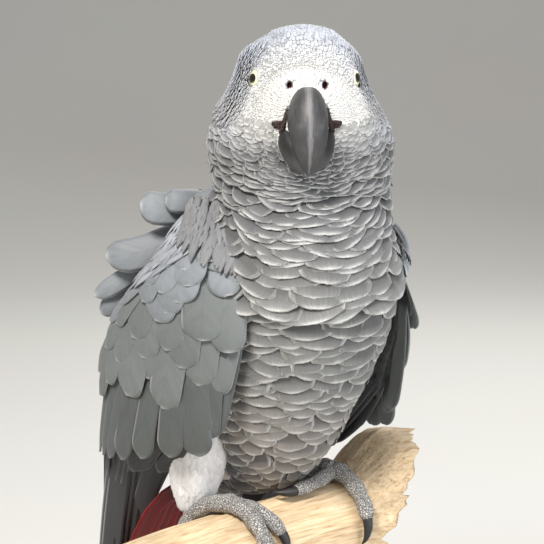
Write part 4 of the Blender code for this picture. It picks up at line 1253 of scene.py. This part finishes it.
# the small shoulder coverts lie in rows, and a fan of soft feathers over them; lengths in millimetres
lesserLook = {"rows": 9, "top": 116, "rowStep": 2.9, "apart": 2.7, "long": 15, "width": 3.9, "lean": 36}
shoulderLook = {"count": 110, "top": 121, "step": 0.22, "long": 9, "width": 3.6}


def wingVanes(wing, key):
    rootLift, tipLift, sink, form = layers[key]
    look, top = wingLook[wing], max(row[0] for row in coverts[key])
    vanes = []
    for h1, s1, h0, s0, width in coverts[key]:
        drop = sink * (top - h1)
        s1, s0 = s1 + chance.normal() * 0.008, s0 + chance.normal() * 0.01
        tone = pigment(wingLook[key]) * (1 + chance.normal() * 0.05) * look["paintedLight"]
        chance.random()  # drawn and set aside
        vanes.append({"root": (h0, s0), "tip": (h1, s1), "width": width, "rootLift": rootLift - drop,
                      "tipLift": tipLift - drop, "tone": tone, "hand": -look["side"],
                      "patch": (look["patch"] + 0.35 * min(max(s0, 0), 1), 0.25 + 0.5 * h0 / 125), **form})
    return vanes


def lesserVanes(wing):
    look, vanes = wingLook[wing], []
    for row in range(lesserLook["rows"]):
        h = lesserLook["top"] - row * lesserLook["rowStep"]
        width = float(curveThrough(wingLook["rows"], h)[0, 2])
        count = max(3, int(width / lesserLook["apart"]))
        for i in range(count + 1):
            share = (i + (row % 2) * 0.5) / count + chance.normal() * 0.02
            if h < 108 - 14 * float(smooth(0.5, 1.0, share)) or share - 10 / max(width, 20) < -0.16:
                continue  # the median coverts start here, or the neck covers it
            tone = pigment(wingLook["lesser"]) * (1 + chance.normal() * 0.12)
            lean = math.radians(lesserLook["lean"] + chance.normal() * 9)
            long = lesserLook["long"] + chance.normal()
            level = h - 4 + chance.normal() * 1.2
            root = (level + long * math.cos(lean), share - long * math.sin(lean) / max(width, 20))
            vanes.append({"root": root, "tip": (level, share), "width": lesserLook["width"],
                          "rootLift": -0.5 - 0.03 * row, "tipLift": 0.75 - 0.03 * row, "tone": tone,
                          "tilt": 0.12, "cup": 0.35, "curl": 0.3, "hand": -look["side"],
                          "patch": (look["patch"] + 0.35 * share, 0.25 + 0.5 * level / 125)})
    return vanes


def shoulderVanes(wing):
    # soft, narrow feathers, a fan from under the neck's
    vanes = []
    for i in range(shoulderLook["count"]):
        level = shoulderLook["top"] - shoulderLook["step"] * i
        share = -0.16 + 0.8 * ((i * 0.618) % 1) * float(smooth(92, 114, level))
        tone = pigment(plumage["neck"]) * (1.15 + chance.normal() * 0.07)
        root = (level + shoulderLook["long"], share - 0.1 + chance.normal() * 0.04)
        vanes.append({"root": root, "tip": (level, share), "width": shoulderLook["width"],
                      "rootLift": 0.6, "tipLift": 1.5 + chance.normal() * 0.12, "tone": tone,
                      "tilt": 0.05, "cup": 0.4, "curl": 0.5, "hand": -wingLook[wing]["side"],
                      "patch": (0.42, 0.3 + 0.004 * level)})
    return vanes


def makeWing(wing):
    surface = onWing(wing)
    # the arm under the vanes closes the gaps between them; its dim colour is painted shade in those gaps
    heights, shares = np.linspace(117, 34, 24), np.linspace(0.06, 0.9, 14)
    rings = [np.concatenate([wingSurface(wing, np.full(14, h), shares, -5.2),
                             wingSurface(wing, np.full(14, h), shares[::-1], -6.6)]) for h in heights]
    settle(ringForm(rings), "wingArm_" + wing, armMaterial)
    vanes = {key: wingVanes(wing, key) for key in ("primary", "secondary", "greater", "median")}
    for name, key, material, net in (("primaries_", "primary", darkVane, (24, 8, 0.84, 0.6, 1.6)),
                                     ("secondaries_", "secondary", darkVane, (20, 8, 0.84, 0.6, 1.9)),
                                     ("greaterCoverts_", "greater", paleVane, (14, 10, 0.76, 0.65, 2.3)),
                                     ("medianCoverts_", "median", paleVane, (14, 10, 0.64, 0.65, 2.3))):
        layVanes(name + wing, material, featherNet(*net), surface, vanes[key])
    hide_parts(f"wing_{wing}_primaries")
    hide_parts(f"wing_{wing}_secondaries")
    layVanes("lesserCoverts_" + wing, paleVane, featherNet(8, 4, 0.5, 0.5, 1.6), surface,
             lesserVanes(wing), thickness=0.35, shaft=0.1)
    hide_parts(f"wing_{wing}_coverts")
    layVanes("shoulder_" + wing, softVane, featherNet(6, 4, 0.45, 0.6, 1.7), surface,
             shoulderVanes(wing), thickness=0.25, shaft=0.02)


softVane = makeVaneMaterial("softShoulderVane", "#c9cbcd", 0.35, 0.85, 14.0, 0.1)
print("wings")
darkVane = makeFlightMaterial("darkFlightVane", 0.2)
paleVane = makeFlightMaterial("paleCovertVane", 0.5)
armMaterial, tree, shader = newMaterial("wingDownShade", 0.85)  # the down that shows between vanes, dimmed as painted shade
where = addNode(tree, "TexCoord").outputs["Object"]
fluff = addNode(tree, "TexNoise", {"Scale": 500.0, "Detail": 3.0}, Vector=where)
linkTo(tree, shader, Base_Color=addNode(tree, "ValToRGB", {"stops": ((0.3, "#3a3b3d"), (0.7, "#56585a"))},
                                        Fac=fluff))
for wing in ("left", "right"):
    makeWing(wing)

# Scapulars: broad feathers that stand off the right shoulder, each from its root to its tip

scapularLook = (
    # root and tip as millimetres left, back and up from the branch's crown, then width, bow and layer
    ((-33, 12, 125), (-59.5, 3, 124), 14.5, 2.0, 0.0), ((-33, 9, 127.6), (-49, 2, 126.4), 10.5, 1.2, 0.9),
    ((-34, 12, 117), (-75, 7, 101.5), 15.5, 4.0, 0.0), ((-56, 17, 101), (-79, 14, 76), 9.5, 1.5, -2.0),
    ((-46, 15, 113), (-81, 12, 84), 9, 2.5, -1.2), ((-25, 7, 131), (-37, 0, 119), 13, 0.0, 1.8),
    ((-22, 5, 128), (-31, -2, 113), 11, 0.0, 2.4),
)


def makeScapulars():
    vanes = []
    for i, (root, tip, width, bow, layer) in enumerate(scapularLook):
        tone = pigment(wingLook["median"]) * (1 + chance.normal() * 0.06)
        vanes.append({"root": root, "tip": tip, "width": width, "rootLift": layer - 0.6,
                      "tipLift": layer + 0.5, "tone": tone, "bow": bow, "hand": -1, "cup": 1.4,
                      "tilt": 0.2, "curl": 1.6, "patch": (0.55, 0.7 + 0.01 * i)})

    def surface(vane, along):
        root, tip = spread(vane["root"]), spread(vane["tip"])
        line = root + (tip - root) * along[:, None]
        line[:, 1] -= 3.0 * np.sin(along * math.pi)
        facingOut = unit(spread((-0.25, -0.92, 0.3)))
        way = unit(tip - root)
        normal = unit(facingOut - way * (facingOut @ way))
        return line * mm + crown, np.tile(normal, (len(along), 1))

    made = layVanes("scapulars", paleVane, featherNet(16, 8, 0.78, 0.5, 2.1), surface, vanes)
    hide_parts("scapulars_right")


print("scapulars")
makeScapulars()

# Tail: twelve broad red feathers

tailLook = {
    # distance back, level, half width
    "rows": ((44, 6, 20), (52, -8, 34), (66, -36, 40), (78, -60, 40), (88, -82, 38)), "swing": 13.0,
    "arch": 5.0, "feathers": 12, "width": 15.0, "red": "#9a1216",
}


def tailSurface(vane, along):
    table = [(i / 4, *row) for i, row in enumerate(tailLook["rows"])]
    forward, left = facing(trunkTurn)
    start, across = vane["start"], vane["across"]
    rows = curveThrough(table, start + (vane["end"] - start) * along)
    lateral = rows[:, 2] * across * (0.62 + 0.2 * np.sqrt(along))
    lateral = lateral - tailLook["swing"] * smooth(0, 0.3, along)
    places = (np.outer(-rows[:, 0] + tailLook["arch"] * across**2, forward) + np.outer(lateral, left)
              + np.outer(rows[:, 1], (0, 0, 1)))
    normal = unit(-forward * 0.93 + spread((0, 0, 0.37)) + left * across * 0.25)
    return places * mm + crown, np.tile(normal, (len(along), 1))


def makeTail():
    # carmine vanes with close barbs and a darker shaft, darkened near the root as painted shade under the
    # body
    red, tree, shader = newMaterial("redVane", 0.6, ior=1.5, Sheen_Weight=0.2, Sheen_Roughness=0.4)
    tone, along, _, out = vaneParts(tree)
    slant = addNode(tree, "Math", {"operation": "MULTIPLY_ADD", 1: -0.25}, pin0=out, pin2=along)
    lane = addNode(tree, "CombineXYZ", X=slant)
    barbs = addNode(tree, "TexNoise", {"Scale": 90.0, "Detail": 3.0, "Roughness": 0.7}, Vector=lane)
    shade = addNode(tree, "ValToRGB", {"stops": ((0.3, 0.7), (0.7, 1.1))}, Fac=barbs)
    first = addNode(tree, "Mix", multiplied, pin6=tone, pin7=shade)
    shaft = addNode(tree, "ValToRGB", {"stops": ((0.03, 0.4), (0.07, 1.0))}, Fac=out)
    lined = addNode(tree, "Mix", multiplied | {"Factor": 0.9}, pin6=first, pin7=shaft)
    # near the root the vanes turn almost black: painted shade under the belly
    rootShade = addNode(tree, "ValToRGB", {"stops": ((0.14, "#191414"), (0.26, "#ffffff"))}, Fac=along)
    final = addNode(tree, "Mix", multiplied, pin6=lined, pin7=rootShade)
    relief = addNode(tree, "Bump", {"Distance": 0.1 * mm, "Strength": 0.6}, Height=barbs)
    linkTo(tree, shader, Base_Color=final, Normal=relief)
    vanes = []
    for i in range(tailLook["feathers"]):
        across = (i + 0.5) / tailLook["feathers"] * 2 - 1
        tone = pigment(tailLook["red"]) * (1 + chance.normal() * 0.08)
        vanes.append({"start": 0.22 * float(smooth(-0.1, 0.5, across)),
                      "end": 1.0 - 0.05 * across**2 + chance.normal() * 0.008, "across": across,
                      "width": tailLook["width"], "rootLift": -1.2 - abs(across) * 1.6,
                      "tipLift": -0.6 - abs(across) * 2, "tone": tone, "cup": 0.6,
                      "tilt": 0.35 * (1 if across > 0 else -1), "patch": (0.5 + 0.04 * across, 0.05)})
    made = layVanes("tailFeathers", red, featherNet(24, 8, 0.9, 0.7, 2.2), tailSurface, vanes)
    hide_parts("tail")


print("tail")
makeTail()

# Branch: a bare, dry length, sawn at its near end and torn at the other

branchLook = {
    "start": -95.0, "end": 64.0, "radius": 21.0, "slope": 0.0875, "flare": 8.0, "lift": 6.0,
    "thinning": 0.25, "flareStart": 28.0, "flareLength": 32.0, "breakBack": 20.0, "breakUp": 12.0,
    "grain": 0.45, "wood": "#e0c49d", "dark": "#a98561", "pale": "#f2e2c4",
}


def branchAxis(along):
    b = branchLook
    swell = smooth(b["flareStart"], b["flareStart"] + b["flareLength"], along)
    past = np.maximum(0, along - b["flareStart"] - b["flareLength"])
    radius = b["radius"] + b["flare"] * swell - b["thinning"] * past
    height = -b["radius"] + b["slope"] * along + b["lift"] * swell
    way = spread((math.cos(branchTurn), math.sin(branchTurn), 0))
    return np.multiply.outer(along, way) + np.multiply.outer(height, (0, 0, 1)), radius


def branchPlace(along, around, lift=0.0):
    # metres; around in degrees from the crown towards the front, lift in millimetres
    centre, radius = branchAxis(spread(along))
    angle = np.radians(around)
    front = spread((math.sin(branchTurn), -math.cos(branchTurn), 0))
    reach = (radius + lift)[..., None]
    way = np.multiply.outer(np.sin(angle), front) + np.multiply.outer(np.cos(angle), (0, 0, 1))
    return (centre + reach * way) * mm + crown


def wavy(seed, count, *coordinates):
    # soft noise from a few sines with steps of their own
    dice = np.random.default_rng(seed)
    total = 0
    for _ in range(count):
        total = total + np.sin(sum(c * w for c, w in zip(coordinates, dice.normal(size=len(coordinates))))
                               + dice.random() * 7)
    return total / math.sqrt(count)


def makeBranch():
    b = branchLook
    around = 160
    turns = np.arange(around) * 360 / around
    angle = np.radians(turns)
    torn = b["end"] + b["breakUp"] * np.cos(angle) - b["breakBack"] * np.sin(angle)
    splinter = 1.8 * wavy(3, 12, angle * 9) + 1.6 * wavy(4, 12, angle * 30)
    rings = []
    for shrink in np.linspace(0.1, 0.95, 8):
        rings.append(branchPlace(np.full(around, b["start"] + 0.15 * wavy(9, 6, angle * 3)), turns,
                                 -b["radius"] * (1 - shrink)))
    for share in np.linspace(0, 1, 120):
        along = b["start"] + 0.6 + (torn + splinter - b["start"] - 0.6) * share
        line = wavy(5, 16, angle * 26, along * 0.05) + 0.7 * wavy(6, 16, angle * 60, along * 0.12)
        lump = wavy(7, 8, angle * 1.3, along * 0.045)
        rings.append(branchPlace(along, turns, b["grain"] * line * 0.5 + 0.6 * lump - 0.9
                                 + (0.0 if share > 0 else -0.5)))
    for shrink, depth in ((0.9, 3.0), (0.78, 6.0), (0.62, 8.0), (0.45, 10.5), (0.28, 12.0), (0.12, 12.5)):
        along = b["end"] + shrink * (torn - b["end"]) + splinter * shrink - depth
        along = along + (1.8 * wavy(11, 10, angle * 8 * shrink, np.full(around, shrink * 30.0))
                         + 1.2 * wavy(12, 10, angle * 22 * shrink, np.full(around, shrink * 60.0)))
        rings.append(branchPlace(along, turns, -branchAxis(along)[1] * (1 - shrink)))
    made = ringForm(rings)
    # weathered softwood: pale, with long fibres, darker in their grooves, matt
    wood, tree, shader = newMaterial("bareSoftwood", 0.78, ior=1.5)
    spot = addNode(tree, "TexCoord").outputs["Object"]
    turned = addNode(tree, "Mapping", {"vector_type": "TEXTURE", "Rotation": (0, 0, branchTurn)},
                     Vector=spot)
    fibre = addNode(tree, "Mapping", {"Scale": (0.045, 1.0, 1.0)}, Vector=turned)
    lines = addNode(tree, "TexNoise", {"Scale": 900.0, "Detail": 5.0, "Roughness": 0.65}, Vector=fibre)
    bands = addNode(tree, "TexNoise", {"Scale": 160.0, "Detail": 3.0}, Vector=fibre)
    stains = addNode(tree, "TexNoise", {"Scale": 45.0, "Detail": 4.0}, Vector=spot)
    fibreTones = ((0.28, b["dark"]), (0.48, b["wood"]), (0.75, b["pale"]))
    colour = addNode(tree, "ValToRGB", {"stops": fibreTones}, Fac=lines)
    broad = addNode(tree, "ValToRGB", {"stops": ((0.3, 0.72), (0.6, 1.05))}, Fac=bands)
    stain = addNode(tree, "ValToRGB", {"stops": ((0.35, 0.8), (0.6, 1.04))}, Fac=stains)
    first = addNode(tree, "Mix", multiplied | {"Factor": 0.8}, pin6=colour, pin7=broad)
    second = addNode(tree, "Mix", multiplied | {"Factor": 0.8}, pin6=first, pin7=stain)
    relief = addNode(tree, "Bump", {"Distance": 0.5 * mm, "Strength": 0.8}, Height=lines)
    linkTo(tree, shader, Base_Color=second, Normal=relief)
    settle(made, "branch", wood)
    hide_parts("perch")


print("branch")
makeBranch()

# Feet: scaly toes closed on the branch, two forward and two back, each with a dark claw

feetLook = {
    "right": {"joint": -29.7, "shank": (-16.5, 20.5, -10.0),
              "toes": {1: ((-28, -24.5, -22), (-8, -24, -42)), 2: ((-27, -21, -17.5), (10, 34, 60)),
                       3: ((-29, -28, -27.5), (10, 42, 76)), 4: ((-31.5, -34.5, -37), (-8, -38, -72))}},
    "left": {"joint": 26.0, "shank": (-13.0, 21.0, -7.0),
             "toes": {1: ((24.5, 21, 18.5), (-10, -26, -44)), 2: ((22.5, 12, 0.5), (8, 15, 17)),
                      3: ((27.5, 28, 27.5), (10, 42, 74)), 4: ((28.5, 32, 34.5), (-10, -36, -64))}},
    "toeRadius": {1: (3.3, 2.7), 2: (3.6, 2.7), 3: (4.2, 3.2), 4: (4.0, 3.0)},
    "clawLength": {1: 8.0, 2: 10.0, 3: 12.0, 4: 11.0},
    "clawTaper": ((0, 0.25, 0.5, 0.75, 1), (2.2, 2.0, 1.5, 0.9, 0.15)),  # radii along a claw
    "pads": {1: 2, 2: 3, 3: 4, 4: 4},  # swellings along a toe, one for each bone
    "scale": "#cac8c4", "crease": "#565250", "claw": "#2a2829",
}


def makeFeet():
    # scaled skin: small dry plates with dark creases between them
    scales, tree, shader = newMaterial("scaledSkin", 0.6, ior=1.45)
    where = addNode(tree, "TexCoord").outputs["Object"]
    wander = addNode(tree, "TexNoise", {"Scale": 300.0, "Detail": 1.0}, Vector=where).outputs["Color"]
    shift = addNode(tree, "Mix", {"data_type": "RGBA", "Factor": 0.0012}, pin6=where, pin7=wander)
    cells = addNode(tree, "TexVoronoi", {"feature": "DISTANCE_TO_EDGE", "Scale": 1000.0}, Vector=shift)
    kinds = addNode(tree, "TexVoronoi", {"Scale": 1000.0}, Vector=shift).outputs["Color"]
    plateTones = ((0.01, feetLook["crease"]), (0.09, "#9b9997"), (0.2, feetLook["scale"]))
    plates = addNode(tree, "ValToRGB", {"stops": plateTones}, Fac=cells)
    each = addNode(tree, "ValToRGB", {"stops": ((0.0, 0.8), (1.0, 1.1))}, Fac=kinds)
    colour = addNode(tree, "Mix", multiplied, pin6=plates, pin7=each)
    dome = addNode(tree, "ValToRGB", {"stops": ((0.0, 0.0), (0.25, 1.0))}, Fac=cells)
    relief = addNode(tree, "Bump", {"Distance": 0.5 * mm, "Strength": 0.9}, Height=dome)
    linkTo(tree, shader, Base_Color=colour, Normal=relief)
    # the claw's lighter ridge is a painted highlight, as on the bill
    claw = makeBillHorn("clawKeratin", "#3d3b3c", feetLook["claw"], "#141314")
    for name in ("right", "left"):
        foot = feetLook[name]
        pieces = []
        start = branchPlace(spread([foot["joint"]]), np.array([0.0]), 3.4)[0]
        ankle = start + spread(foot["shank"]) * mm
        steps = np.linspace(0, 1, 14)
        arch = spread((0, 0, 1.6 * mm))
        path = [start + (ankle - start) * t + arch * math.sin(math.pi * t) for t in steps]
        pieces.append(tubeForm(path, np.interp(steps, [0, 0.33, 0.66, 1], [4.0, 3.8, 3.9, 4.6]) * mm, 20))
        rises = np.linspace(-4.3, 4.3, 15)  # a ball where the toes meet
        ball = [start + spread((0, 0, 1)) * t * mm for t in rises]
        pieces.append(tubeForm(ball, np.sqrt(np.maximum(0.2, 19.4 - rises**2)) * mm, 20))
        for number, (places, angles) in foot["toes"].items():
            table = list(zip(np.linspace(0, 1, 4), (foot["joint"], *places), (0, *angles)))
            steps = np.linspace(0, 1, 30)
            rows = curveThrough(table, steps)
            wide, narrow = feetLook["toeRadius"][number]
            toe = branchPlace(rows[:, 0], rows[:, 1], wide * 0.9)
            swell = 1 + 0.09 * np.cos(steps * feetLook["pads"][number] * 2 * math.pi + math.pi)
            radii = (wide + (narrow - wide) * steps) * swell
            radii[-1] *= 0.6
            pieces.append(tubeForm(toe, radii * mm, 20))
            way = unit(toe[-1] - toe[-4])
            inward = toe[-1] - 2 * toe[-8] + toe[-15]
            inward = unit(inward - way * (inward @ way))
            length = feetLook["clawLength"][number] * mm
            bend = np.linspace(0, 1.35, 22)
            base = toe[-1] - way * 0.6 * mm
            curve = [base + length * (way * math.sin(a) + inward * (1 - math.cos(a)) * 0.8) / 1.15
                     for a in bend]
            radii = np.interp(np.linspace(0, 1, 22), *feetLook["clawTaper"]) * mm
            made = settle(tubeForm(curve, radii, 18), f"claw_{name}_{number}_horn", claw)
            made.data.uv_layers[0].name = "vane"
            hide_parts(f"claw_{name}_{number}")
        made = joinPieces(pieces)
        applyModifier(made, "REMESH", mode="VOXEL", voxel_size=0.55 * mm)
        applyModifier(made, "SMOOTH", factor=0.5, iterations=6)
        settle(made, f"foot_{name}_skin", scales)
        made.data.shade_smooth()
        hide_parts(f"foot_{name}")


print("feet")
makeFeet()

# Stand: a turned, lacquered disc and two steel rods

standLook = {"radius": 85.0, "thickness": 14.0, "rod": 4.0, "rods": (-50.0, 24.0), "collar": 8.0,
             "lacquer": "#1a1a1c", "steel": "#b9babc"}


def makeStand():
    # sprayed lacquer over turned hardwood: deep black, soft gloss, faint ripple
    lacquer, tree, shader = newMaterial("blackLacquer", 0.3, ior=1.5, Coat_Weight=0.4, Coat_Roughness=0.12)
    where = addNode(tree, "TexCoord").outputs["Object"]
    ripple = addNode(tree, "TexNoise", {"Scale": 260.0, "Detail": 2.0}, Vector=where)
    dust = addNode(tree, "TexNoise", {"Scale": 60.0, "Detail": 4.0}, Vector=where)
    colour = addNode(tree, "ValToRGB", {"stops": ((0.35, standLook["lacquer"]), (0.75, "#232326"))},
                     Fac=dust)
    rough = addNode(tree, "MapRange", {"To Min": 0.24, "To Max": 0.4}, Value=dust)
    relief = addNode(tree, "Bump", {"Distance": 0.06 * mm, "Strength": 0.5}, Height=ripple)
    linkTo(tree, shader, Base_Color=colour, Roughness=rough, Normal=relief)
    # drawn stainless steel: fine lines along the rod
    steel, tree, shader = newMaterial("drawnSteel", 0.3, metallic=1.0)
    where = addNode(tree, "TexCoord").outputs["Object"]
    drawn = addNode(tree, "Mapping", {"Scale": (1.0, 1.0, 0.02)}, Vector=where)
    lines = addNode(tree, "TexNoise", {"Scale": 4000.0, "Detail": 3.0}, Vector=drawn)
    colour = addNode(tree, "ValToRGB", {"stops": ((0.3, "#a5a6a8"), (0.7, standLook["steel"]))}, Fac=lines)
    rough = addNode(tree, "MapRange", {"To Min": 0.22, "To Max": 0.42}, Value=lines)
    linkTo(tree, shader, Base_Color=colour, Roughness=rough)
    height = standLook["thickness"] * mm
    bpy.ops.mesh.primitive_cylinder_add(vertices=128, radius=standLook["radius"] * mm, depth=height,
                                        location=(0, 0, height / 2))
    base = bpy.context.active_object
    bpy.ops.object.mode_set(mode="EDIT")
    bpy.ops.mesh.select_all(action="DESELECT")
    bpy.ops.object.mode_set(mode="OBJECT")
    for face in base.data.polygons:
        face.select = face.normal.z > 0.9
    bpy.ops.object.mode_set(mode="EDIT")
    for inset, drop in ((6, 0), (1.2, -1.2), (2, 0), (1.2, 1.2)):  # a turned groove inside the edge
        bpy.ops.mesh.inset(thickness=inset * mm)
        bpy.ops.transform.translate(value=(0, 0, drop * mm))
    bpy.ops.object.mode_set(mode="OBJECT")
    applyModifier(base, "BEVEL", width=1.6 * mm, segments=4, limit_method="ANGLE",
                  angle_limit=math.radians(50))
    settle(base, "standDisc", lacquer)
    bpy.ops.object.shade_smooth_by_angle(angle=math.radians(35))
    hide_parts("stand_base")
    for number, along in enumerate(standLook["rods"], 1):
        centre, radius = branchAxis(spread([along]))
        top = perchLevel + (centre[0, 2] - radius[0] + 8) * mm
        bottom = height - 7 * mm
        x, y = centre[0, :2] * mm
        parts = []
        for key, depth, middle in (("rod", top - bottom, (top + bottom) / 2),
                                   ("collar", 5 * mm, height + 2.5 * mm)):
            bpy.ops.mesh.primitive_cylinder_add(vertices=48, radius=standLook[key] * mm, depth=depth,
                                                location=(x, y, middle))
            parts.append(bpy.context.active_object)
        for part, size in zip(parts, (0.5, 1.2)):
            applyModifier(part, "BEVEL", width=size * mm, segments=3, limit_method="ANGLE")
        made = settle(joinPieces(parts), f"rod_{number}_steel", steel)
        bpy.ops.object.shade_smooth_by_angle(angle=math.radians(35))
        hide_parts(f"stand_rod_{number}")


print("stand")
makeStand()

# Thighs: white, loose, downy feathers that end at the ankles

thighCoat = {"spacing": 1.5, "stretch": 1.2, "length": 9.5, "width": 5.6, "lift": 2.2, "rootLift": 1.3,
             "reach": 2.8, "top": 56, "tries": 12000, "white": "#fbfafa"}


def thighSpacing(points):
    return np.full(len(points), thighCoat["spacing"])


def thighFlow(points, normals):
    return alongSkin(spread((0.05, 0.1, -1)) + chance.normal(size=points.shape) * 0.12, normals)


def makeThighs():
    picked = nearNode(faceMiddles, thighCoat["reach"] * mm, "thigh_left", "thigh_right")
    picked &= levelOf(faceMiddles) < thighCoat["top"]
    points, flows, _ = scatter(np.where(picked)[0], thighSpacing, thighCoat["stretch"], thighFlow,
                               thighCoat["tries"])
    count = len(points)
    tones = pigment(thighCoat["white"]) * (1 + chance.normal(size=count) * 0.05)[:, None]
    lengths = thighCoat["length"] * (1 + chance.normal(size=count) * 0.1)
    lifts = thighCoat["lift"] * (1 + chance.normal(size=count) * 0.01)
    down = growFeathers("coatThighs", makeVaneMaterial("downyThighVane", "#ffffff", 0.3, 1.0, 20.0, 0.02),
                        featherNet(5, 4, 0.5, 0.6, 2.4), points - flows * 2 * mm, flows,
                        lengths, np.full(count, thighCoat["width"]), np.full(count, thighCoat["rootLift"]),
                        lifts, tones, fray=0.02, thickness=0.05)
    down.data.set_sharp_from_angle(angle=math.radians(70))  # white down throws no shade at its edges


print("thighs")
makeThighs()

# Stage and camera

stageLook = {"floor": "#d9d8d4", "distance": 900 * mm, "elevation": 10.0, "lens": 141.8}


def makeStage():
    bpy.ops.mesh.primitive_plane_add(size=4.0, location=(0, 0.6, -0.0005))
    floor = bpy.context.active_object
    floor.name = floor.data.name = "studioFloor"
    bpy.ops.object.mode_set(mode="EDIT")
    bpy.ops.mesh.select_all(action="DESELECT")
    bpy.ops.object.mode_set(mode="OBJECT")
    for edge in floor.data.edges:
        edge.select = all(floor.data.vertices[v].co.y > 1 for v in edge.vertices)
    bpy.ops.object.mode_set(mode="EDIT")
    bpy.ops.mesh.extrude_region_move(TRANSFORM_OT_translate={"value": (0, 0, 3)})
    bpy.ops.object.mode_set(mode="OBJECT")
    bpy.ops.object.transform_apply(location=True, rotation=True, scale=True)
    applyModifier(floor, "BEVEL", width=1.4, segments=24, limit_method="ANGLE")
    bpy.ops.object.shade_smooth()
    made, tree, shader = newMaterial("paperSweep", 0.9)
    where = addNode(tree, "TexCoord").outputs["Object"]
    grain = addNode(tree, "TexNoise", {"Scale": 3.0, "Detail": 2.0}, Vector=where)
    shade = addNode(tree, "Mix", {"data_type": "RGBA", "Factor": 0.04, 6: toLinear(stageLook["floor"])},
                    pin7=grain.outputs["Color"])
    linkTo(tree, shader, Base_Color=shade)
    floor.data.materials.append(made)
    floor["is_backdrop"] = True
    return floor


def addLamp(name, place, target, size, power, colour="#ffffff"):
    bpy.ops.object.light_add(type="AREA", location=place)
    lamp = bpy.context.active_object
    lamp.name = name
    lamp.data.size = size
    lamp.data.energy = power
    lamp.data.color = toLinear(colour)[:3]
    lamp.rotation_euler = (Vector(target) - Vector(place)).to_track_quat("-Z", "Y").to_euler()
    lamp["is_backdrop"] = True


def makeCamera():
    target = Vector((-4.6 * mm, 0, perchLevel + 96 * mm))
    lean = math.radians(stageLook["elevation"])
    place = target + Vector((0, -math.cos(lean), math.sin(lean))) * stageLook["distance"]
    bpy.ops.object.camera_add(location=place)
    camera = bpy.context.active_object
    camera.rotation_euler = (target - place).to_track_quat("-Z", "Y").to_euler()
    camera.data.lens = stageLook["lens"]
    camera.data.sensor_width = 36
    bpy.context.scene.camera = camera
    camera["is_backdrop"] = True


print("stage")
makeStage()
middle = (0, 0, perchLevel + 80 * mm)
addLamp("keyLight", (-0.35, -0.75, 1.15), middle, 0.4, 22, "#fffaf4")
addLamp("fillLight", (0.9, -0.7, 0.5), middle, 0.9, 8, "#f4f8ff")
addLamp("backLight", (0.3, 0.9, 0.9), middle, 0.8, 7)
world = bpy.data.worlds.new("studio")
bpy.context.scene.world = world
world.use_nodes = True
world.node_tree.nodes["Background"].inputs["Color"].default_value = toLinear("#f2f2f0")
world.node_tree.nodes["Background"].inputs["Strength"].default_value = 0.34
bpy.context.scene.view_settings.view_transform = "Standard"
makeCamera()

low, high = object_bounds()
